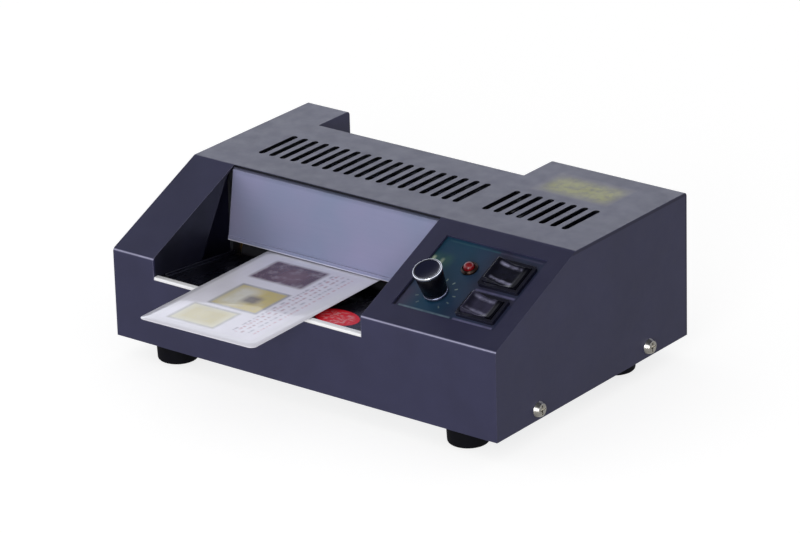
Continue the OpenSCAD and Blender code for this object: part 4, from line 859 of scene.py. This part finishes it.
class LAMINATOR_OT_stage(bpy.types.Operator):
    """Camera, pale floor, soft lamp and an even sky."""

    bl_idname = "laminator.stage"
    bl_label = "Stage"

    def execute(self, context):
        settings = context.scene.laminator_stage
        eye = bpy.data.cameras.new("studio_camera")
        eye.sensor_width, eye.lens = SENSOR_MM, LENS_MM
        eye.clip_start, eye.clip_end = CLIP
        camera = link("studio_camera", eye)
        axes = (Vector(CAMERA_RIGHT), -Vector(CAMERA_DOWN), -Vector(CAMERA_AHEAD))
        turn = Matrix([[axis[i] for axis in axes] for i in range(3)]).to_4x4()
        camera.matrix_world = Matrix.Translation(at(*CAMERA_PLACE)) @ turn
        context.scene.camera = camera
        self.floor(settings)
        self.sky(context, settings)
        light = bpy.data.lights.new("key_lamp", "AREA")
        light.shape, light.size, light.energy = "DISK", LAMP_SIZE, settings.key
        turn = (-LAMP_PLACE).to_track_quat("-Z", "Y").to_matrix().to_4x4()
        link("key_lamp", light).matrix_world = Matrix.Translation(LAMP_PLACE) @ turn
        context.scene.view_settings.view_transform = "Standard"
        return {"FINISHED"}

    def floor(self, settings):
        """A matt white floor that still takes the machine's shadow."""
        half = settings.floor_size / 2
        build = bmesh.new()
        build.faces.new([build.verts.new((x * half, y * half, 0)) for x, y in ((-1, -1), (1, -1), (1, 1), (-1, 1))])
        floor = link("studio_floor", to_mesh(build, "studio_floor", False))
        made, tree, shader = fresh("matt_white_paper")
        tree.nodes.remove(shader)
        paper, soft = [add_node(tree, "ShaderNodeBsdfDiffuse", {"Color": (grey, grey, grey, 1)}).outputs["BSDF"]
                       for grey in (settings.floor_bounce, FLOOR_SHADE)]
        glow, dim = [add_node(tree, "ShaderNodeEmission", {"Color": (1, 1, 1, 1), "Strength": level}
                     ).outputs["Emission"] for level in (settings.floor_white, settings.floor_mirror)]
        lit = add_node(tree, "ShaderNodeAddShader", {0: soft, 1: glow}).outputs["Shader"]
        path = add_node(tree, "ShaderNodeLightPath").outputs
        mixed = add_node(tree, "ShaderNodeMixShader", {0: path["Is Glossy Ray"], 1: paper, 2: dim}).outputs["Shader"]
        mixed = add_node(tree, "ShaderNodeMixShader", {0: seen_by_eye(tree, path), 1: mixed, 2: lit})
        tree.links.new(mixed.outputs["Shader"], tree.nodes["Material Output"].inputs["Surface"])
        floor.data.materials.append(made)

    def sky(self, context, settings):
        """White to the eye; even for light; for gloss bright at the horizon and darker overhead."""
        world = bpy.data.worlds.new("studio_sky")
        world.use_nodes = True
        tree = world.node_tree
        tree.nodes.clear()
        way = add_node(tree, "ShaderNodeTexCoord").outputs["Generated"]
        way = add_node(tree, "ShaderNodeSeparateXYZ", {"Vector": way}).outputs
        mirrored, sides, above = [
            add_node(tree, "ShaderNodeMapRange", {"Value": way[axis], "From Min": first, "From Max": last, "To Min":
                     low, "To Max": high}).outputs["Result"]
            for axis, first, last, low, high in (
                ("Z", MIRRORED_FROM, MIRRORED_TO, settings.horizon, settings.zenith),
                ("X", SIDE_FROM, SIDE_TO, settings.sky, settings.sky * settings.sky_right),
                ("Z", ABOVE_FROM, ABOVE_TO, 1.0, settings.sky_above))]
        path = add_node(tree, "ShaderNodeLightPath").outputs
        level = where_all(tree, sides, above)
        for share, over in ((path["Is Glossy Ray"], mirrored), (seen_by_eye(tree, path), 1.0)):
            level = add_node(tree, "ShaderNodeMix", {"Factor": share, "A": level, "B": over}).outputs["Result"]
        tinted = layered(tree, (1, 1, 1, 1), (path["Is Glossy Ray"], MIRRORED_TINT))
        light = add_node(tree, "ShaderNodeBackground", {"Color": tinted, "Strength": level})
        add_node(tree, "ShaderNodeOutputWorld", {"Surface": light.outputs["Background"]})
        context.scene.world = world


# ---------------------------------------------------------------- pieces


class LAMINATOR_OT_case(bpy.types.Operator):
    """Folded steel cover in stoved enamel, with a blank label at its rear."""

    bl_idname = "laminator.case"
    bl_label = "Case"

    def execute(self, context):
        settings = context.scene.laminator_case
        dressed("cover", stoved_enamel(settings), settings.edge / MM)
        dressed("base_pan", look("zinc_plated_sheet"))
        return {"FINISHED"}


class LAMINATOR_OT_shields(bpy.types.Operator):
    """Anodised shields over the feed and the exit."""

    bl_idname = "laminator.shields"
    bl_label = "Shields"

    def execute(self, context):
        for node in ("front_shield", "rear_shield"):
            dressed(node, satin_anodised(context.scene.laminator_case, node))
        return {"FINISHED"}


class LAMINATOR_OT_tables(bpy.types.Operator):
    """Feed and exit tables, the bright lip and a plain oval sticker."""

    bl_idname = "laminator.tables"
    bl_label = "Tables"

    def execute(self, context):
        for node in ("feed_table", "exit_table"):
            dressed(node, black_enamel())
        dressed("table_lip", look("aluminium_with_painted_highlight"), 0.12)
        return {"FINISHED"}


class LAMINATOR_OT_panel(bpy.types.Operator):
    """Panel film with its lines, its painted shadow and the scale round the knob."""

    bl_idname = "laminator.panel"
    bl_label = "Control panel"

    def execute(self, context):
        dressed("control_panel", panel_film(context.scene.laminator_panel), 0.0)
        return {"FINISHED"}


# The knob in millimetres: how far it stands off the panel, its height, its radius at the top and how much narrower
# it is at its foot, how deep its ribs are, and the height and wall of the ring round its top.
KNOB_LIFT, KNOB_TALL, KNOB_RADIUS, KNOB_TAPER, RIB_DEPTH = 0.6, 14.8, 6.85, 1.0, 0.04
RING_TALL, RING_WALL = 1.5, 0.9
# The points of the knob's outline between which its ribs run.
RIBBED = (6, 7)
# The fewest corners of the knob's outline, and how many there are to each rib.
KNOB_CORNERS, CORNERS_A_RIB = 64, 4


class LAMINATOR_OT_knob(bpy.types.Operator):
    """Ribbed knob with a bright ring round its top and another at its foot."""

    bl_idname = "laminator.knob"
    bl_label = "Heat knob"

    def execute(self, context):
        settings = context.scene.laminator_panel
        ribs, tall, wide = settings.ribs, KNOB_TALL, KNOB_RADIUS
        top, foot, inner = tall - RING_TALL, wide - KNOB_TAPER, wide - RING_WALL
        grip = turned(
            [(0, 3.2), (5.2, 3.2), (5.2, 0.4), (foot - 0.5, 0.4), (foot - 0.5, 1.5), (foot - 0.5, 1.7),
             (foot - 0.15, 2.1), (wide - 0.25, top - 0.7), (wide - 0.45, top - 0.1), (inner, top),
             (inner, tall - 0.35), (inner - 0.25, tall - 0.2), (inner - 1.2, tall - 0.5), (0, tall - 0.6)],
            max(ribs * CORNERS_A_RIB, KNOB_CORNERS), False,
            lambda angle, i: -RIB_DEPTH * (1 - math.cos(ribs * angle)) if i in RIBBED else 0.0)
        rim = turned([(inner, top), (wide - 0.15, top), (wide, top + 0.2), (wide, tall - 0.5),
                      (wide - 0.12, tall - 0.2), (wide - 0.35, tall - 0.02), (wide - 0.6, tall),
                      (inner + 0.05, tall - 0.15)])
        hoop = turned([(foot - 0.45, 0.4), (foot - 0.45, 0.1), (foot - 0.1, 0.1), (foot, 0.3), (foot, 1.1),
                       (foot - 0.2, 1.35), (foot - 0.45, 1.4)])
        stand = on_slope(*KNOB_AT, PANEL_DEPTH + KNOB_LIFT)
        stand_for(placed("knob_grip", grip, stand), knob_plastic(settings), "knob")
        stand_for(placed("knob_top_ring", rim, stand), look("chrome_plate"), "knob_ring")
        settle(placed("knob_foot_ring", hoop, stand), look("dull_chrome"), NODE_BODY["knob_ring"])
        return {"FINISHED"}


class LAMINATOR_OT_lamp(bpy.types.Operator):
    """Red indicator in its brass bezel."""

    bl_idname = "laminator.lamp"
    bl_label = "Indicator"

    def execute(self, context):
        dressed("indicator_lamp", epoxy_lens(), 0.0)
        dressed("lamp_bezel", lacquered_brass(), 0.12)
        return {"FINISHED"}


# Where the switches stand along the machine, how far a key rests tilted, and how deep its pivot lies.
SWITCH_X = 198.2
KEY_TILT = 10.0
PIVOT_DEPTH = -0.7
# Each key: half its length, half its width and its middle up the slope in millimetres, and how strong its painted
# rim highlights and its painted pale sheen are, as shares.
KEYS = {"upper": (9.1, 6.8, 42.9, 0.8, 0.0), "lower": (8.5, 5.5, 22.1, 0.5, 0.4)}
# A key's height at its ends, at its middle and at its underside, the flat at each end and how deep it is dished.
KEY_END, KEY_MIDDLE, KEY_BOTTOM, KEY_FLAT, KEY_DISH = 3.4, 1.9, -2.4, 1.5, 0.8
# The dish ends a little before the key does.
DISH_SHORTER = 1.04
# How many faces a key's top has along and across.
KEY_COLUMNS, KEY_ROWS = 36, 16


def key_mesh(long, wide):
    """A rocker key: two halves that dish between raised rims, on sides that follow its swing."""
    build = bmesh.new()
    reach = math.sqrt(long**2 - KEY_END**2)

    def top(u, v):
        slope = KEY_MIDDLE + (KEY_END - KEY_MIDDLE) * min(1.0, abs(u) * reach / (long - KEY_FLAT))
        return slope - KEY_DISH * math.sin(math.pi * min(1.0, abs(u) * DISH_SHORTER)) * (1 - v**4)

    across = [2 * j / KEY_ROWS - 1 for j in range(KEY_ROWS + 1)]
    grid = [[build.verts.new((u * reach * MM, v * wide * MM, top(u, v) * MM)) for v in across]
            for u in (2 * i / KEY_COLUMNS - 1 for i in range(KEY_COLUMNS + 1))]
    for near, far in zip(grid, grid[1:]):
        for j in range(KEY_ROWS):
            build.faces.new((near[j], far[j], far[j + 1], near[j + 1]))
    loop = [line[0] for line in grid] + grid[-1][1:] + [line[-1] for line in grid[-2::-1]] + grid[0][-2:0:-1]
    for height in (0.0, KEY_BOTTOM):
        grow = math.sqrt(long**2 - height**2) / reach
        reach *= grow
        lower = [build.verts.new((vert.co.x * grow, vert.co.y, height * MM)) for vert in loop]
        bridge(build, loop, lower)
        loop = lower
    build.faces.new(loop)
    return to_mesh(build, "key")


class LAMINATOR_OT_switches(bpy.types.Operator):
    """Snap-in switch housings and their rockers."""

    bl_idname = "laminator.switches"
    bl_label = "Switches"

    def execute(self, context):
        for place, (long, wide, up, rim_highlight, pale_sheen) in KEYS.items():
            dressed(place + "_switch_housing", look("switch_nylon"), 0.35, 3)
            swing = on_slope(SWITCH_X, up, PIVOT_DEPTH) @ Matrix.Rotation(math.radians(KEY_TILT), 4, "Y")
            key = placed(place + "_rocker_key", key_mesh(long, wide), swing)
            round_edges(key, 0.3, 3)
            stand_for(key, key_nylon(swing, long, wide, rim_highlight, pale_sheen), place + "_rocker")
        return {"FINISHED"}


# How far the films' step lies outside the card and its corner radius, and the card's own, in millimetres.
STEP_OUT, STEP_R, CARD_R = 2.5, 4.4, 3.0
# Half the height of the sealed films at that step, where their rim is rounded, and at the rim, and its rounding.
FILM_STEP, FILM_ROUND, FILM_RIM, RIM_IN = 0.15, 0.13, 0.06, 0.05


class LAMINATOR_OT_pouch(bpy.types.Operator):
    """Pouch half drawn into the mouth, with a card sealed in it."""

    bl_idname = "laminator.pouch"
    bl_label = "Pouch"

    def execute(self, context):
        settings = context.scene.laminator_pouch
        wide, long = settings.card_width / MM, settings.card_length / MM
        # From the middle of the top outward and down to the rim; the underside is the same the other way up.
        upper = ((wide, long, CARD_R, POUCH_T / 2), (wide + 2 * STEP_OUT, long + 2 * STEP_OUT, STEP_R, FILM_STEP),
                 (POUCH_W - 2 * RIM_IN, POUCH_L - 2 * RIM_IN, POUCH_R, FILM_ROUND),
                 (POUCH_W, POUCH_L, POUCH_R, FILM_RIM))
        build = bmesh.new()
        rings = [[build.verts.new(((x + POUCH_W / 2) * MM, (y + POUCH_L / 2) * MM, height * MM))
                  for x, y in pad(width, length, radius)]
                 for width, length, radius, height in [(*sizes, -up) for *sizes, up in upper] + [*reversed(upper)]]
        for low, high in zip(rings, rings[1:]):
            bridge(build, low, high)
        build.faces.new(rings[0][::-1])
        build.faces.new(rings[-1])
        pouch = placed("card_pouch", to_mesh(build, "pouch"), pouch_place(), 60)
        stand_for(pouch, laminated_card(settings), "laminating_pouch")
        return {"FINISHED"}


# The springs over the upper bushes, in millimetres: outer diameter, wire, turns, the turns that lie closed at each
# end, and how far a bush lifts.
SPRING_D, SPRING_WIRE, SPRING_TURNS, SPRING_CLOSED, SPRING_GIVE = 4.7, 0.8, 5.0, 0.8, 0.8
WIRE_SIDES, STEPS_A_TURN = 10, 28


def coil_mesh(middles, bottom, top):
    """Round wire wound about upright axes, with closed ends and a flat cut."""
    build = bmesh.new()
    wire, radius = SPRING_WIRE * MM / 2, (SPRING_D - SPRING_WIRE) * MM / 2
    steps = round(SPRING_TURNS * STEPS_A_TURN)
    for middle in middles:
        rings = []
        for i in range(steps + 1):
            turn = SPRING_TURNS * i / steps
            rise = (turn - SPRING_CLOSED) / (SPRING_TURNS - 2 * SPRING_CLOSED)
            height = bottom + wire + (top - bottom - 2 * wire) * min(1.0, max(0.0, rise))
            out = Vector((math.cos(math.tau * turn), math.sin(math.tau * turn), 0))
            ring = []
            for k in range(WIRE_SIDES):
                angle = math.tau * k / WIRE_SIDES
                spot = middle + out * (radius + wire * math.cos(angle))
                ring.append(build.verts.new((spot.x, spot.y, height + wire * math.sin(angle))))
            rings.append(ring)
        for low, high in zip(rings, rings[1:]):
            bridge(build, low, high)
        build.faces.new(rings[0])
        build.faces.new(rings[-1])
    return to_mesh(build, "coils")


class LAMINATOR_OT_springs(bpy.types.Operator):
    """Coil springs that press the upper rollers down."""

    bl_idname = "laminator.springs"
    bl_label = "Springs"

    def execute(self, context):
        for row in ("front", "rear"):
            node = row + "_springs"
            low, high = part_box(node)
            reach, y = (high.y - low.y) / 2, (low.y + high.y) / 2
            middles = [Vector((x, y, 0)) for x in (low.x + reach, high.x - reach)]
            coils = link(node + "_finished", coil_mesh(middles, low.z, high.z))
            shade(coils, 60)
            stand_for(coils, look("spring_wire"), node)
            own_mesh(coils)
        return {"FINISHED"}


# What each of the other nodes is made of, and how far its edges are rounded, in millimetres.
ROLLERS = ("front_lower", "front_upper", "rear_lower", "rear_upper")
FEET = {
    "rubber_feet": ("moulded_rubber", 0.5),
    **{node: ("nickel_plated_steel", 0.12) for node in ("foot_screws", "cover_screws", "inlet_screws")},
    **{node: ("drawn_steel", 0.12) for node in ("frame_screws", "motor_screws")},
}
DRIVE = {
    **{row + "_shaft": ("ground_steel", 0.2) for row in ROLLERS},
    **{row + "_sleeve": ("ground_silicone", 0.3) for row in ROLLERS},
    **{row + "_gear": ("moulded_nylon", 0.1) for row in ROLLERS},
    "idler_pin": ("ground_steel", 0.15), "idler_gear": ("moulded_nylon", 0.1),
    "motor_pinion": ("machined_brass", 0.08),
}
FRAME = {
    "left_side_frame": ("zinc_plated_sheet", 0.2), "right_side_frame": ("zinc_plated_sheet", 0.2),
    "tie_rods": ("drawn_steel", 0.2), "lower_bushes": ("sintered_bronze", 0.2),
    "front_upper_bushes": ("sintered_bronze", 0.2), "rear_upper_bushes": ("sintered_bronze", 0.2),
}
MOTOR = {"motor_bracket": ("zinc_plated_sheet", 0.2), "motor_gearbox": ("diecast_zinc", 0.5),
         "motor_can": ("zinc_plated_sheet", 0.5)}
HEAT = {"heater_bars": ("extruded_aluminium", 0.3), "heating_elements": ("foil_heater_film", 0.15),
        "thermostat": ("phenolic_moulding", 0.3)}
ELECTRICS = {
    "board_standoffs": ("moulded_nylon", 0.1), "transformer": ("varnished_laminations", 0.3),
    "board_parts": ("phenolic_moulding", 0.3), "terminal_block": ("terminal_plastic", 0.2),
    "potentiometer": ("diecast_zinc", 0.2),
}
INLET = {"power_inlet": ("inlet_moulding", 0.4), "inlet_pins": ("nickel_plated_steel", 0.2)}


def dress_group(group):
    for node, (finish, rounding) in group.items():
        dressed(node, look(finish), rounding)
    return {"FINISHED"}


class LAMINATOR_OT_feet(bpy.types.Operator):
    """Rubber feet, and all screws."""

    bl_idname = "laminator.feet"
    bl_label = "Feet and screws"

    def execute(self, context):
        return dress_group(FEET)


class LAMINATOR_OT_drive(bpy.types.Operator):
    """Rollers, gears and their pins."""

    bl_idname = "laminator.drive"
    bl_label = "Rollers and gears"

    def execute(self, context):
        return dress_group(DRIVE)


class LAMINATOR_OT_frame(bpy.types.Operator):
    """Side frames, tie rods and bushes."""

    bl_idname = "laminator.frame"
    bl_label = "Frames"

    def execute(self, context):
        return dress_group(FRAME)


class LAMINATOR_OT_motor(bpy.types.Operator):
    """Geared motor on its bracket."""

    bl_idname = "laminator.motor"
    bl_label = "Motor"

    def execute(self, context):
        return dress_group(MOTOR)


class LAMINATOR_OT_heat(bpy.types.Operator):
    """Heater bars, foil elements and thermostat."""

    bl_idname = "laminator.heat"
    bl_label = "Heaters"

    def execute(self, context):
        return dress_group(HEAT)


class LAMINATOR_OT_electrics(bpy.types.Operator):
    """Circuit board, its parts and the potentiometer."""

    bl_idname = "laminator.electrics"
    bl_label = "Electrics"

    def execute(self, context):
        dressed("circuit_board", solder_mask(), 0.1)
        return dress_group(ELECTRICS)


class LAMINATOR_OT_inlet(bpy.types.Operator):
    """Mains inlet and its pins."""

    bl_idname = "laminator.inlet"
    bl_label = "Inlet"

    def execute(self, context):
        return dress_group(INLET)


SETTINGS = {"laminator_case": CaseSettings, "laminator_panel": PanelSettings, "laminator_pouch": PouchSettings,
            "laminator_stage": StageSettings}
OPERATORS = (LAMINATOR_OT_stage, LAMINATOR_OT_case, LAMINATOR_OT_shields, LAMINATOR_OT_tables, LAMINATOR_OT_panel,
             LAMINATOR_OT_knob, LAMINATOR_OT_lamp, LAMINATOR_OT_switches, LAMINATOR_OT_pouch, LAMINATOR_OT_feet,
             LAMINATOR_OT_drive, LAMINATOR_OT_frame, LAMINATOR_OT_springs, LAMINATOR_OT_motor, LAMINATOR_OT_heat,
             LAMINATOR_OT_electrics, LAMINATOR_OT_inlet)


class LAMINATOR_PT_panel(bpy.types.Panel):
    """Lists the settings and the pieces."""

    bl_label = "Pouch laminator"
    bl_space_type = "VIEW_3D"
    bl_region_type = "UI"
    bl_category = "Laminator"

    def draw(self, context):
        for name, group in SETTINGS.items():
            box = self.layout.box()
            box.label(text=group.__doc__)
            for key in group.__annotations__:
                box.prop(getattr(context.scene, name), key)
        for operator in OPERATORS:
            self.layout.operator(operator.bl_idname)


def register():
    for group in SETTINGS.values():
        bpy.utils.register_class(group)
    for name, group in SETTINGS.items():
        setattr(bpy.types.Scene, name, bpy.props.PointerProperty(type=group))
    for part in (*OPERATORS, LAMINATOR_PT_panel):
        bpy.utils.register_class(part)


def unregister():
    for part in (LAMINATOR_PT_panel, *reversed(OPERATORS)):
        bpy.utils.unregister_class(part)
    for name in SETTINGS:
        delattr(bpy.types.Scene, name)
    for group in reversed(SETTINGS.values()):
        bpy.utils.unregister_class(group)


def main():
    register()
    for operator in OPERATORS:
        area, action = operator.bl_idname.split(".")
        getattr(getattr(bpy.ops, area), action)()


if __name__ == "__main__":
    main()
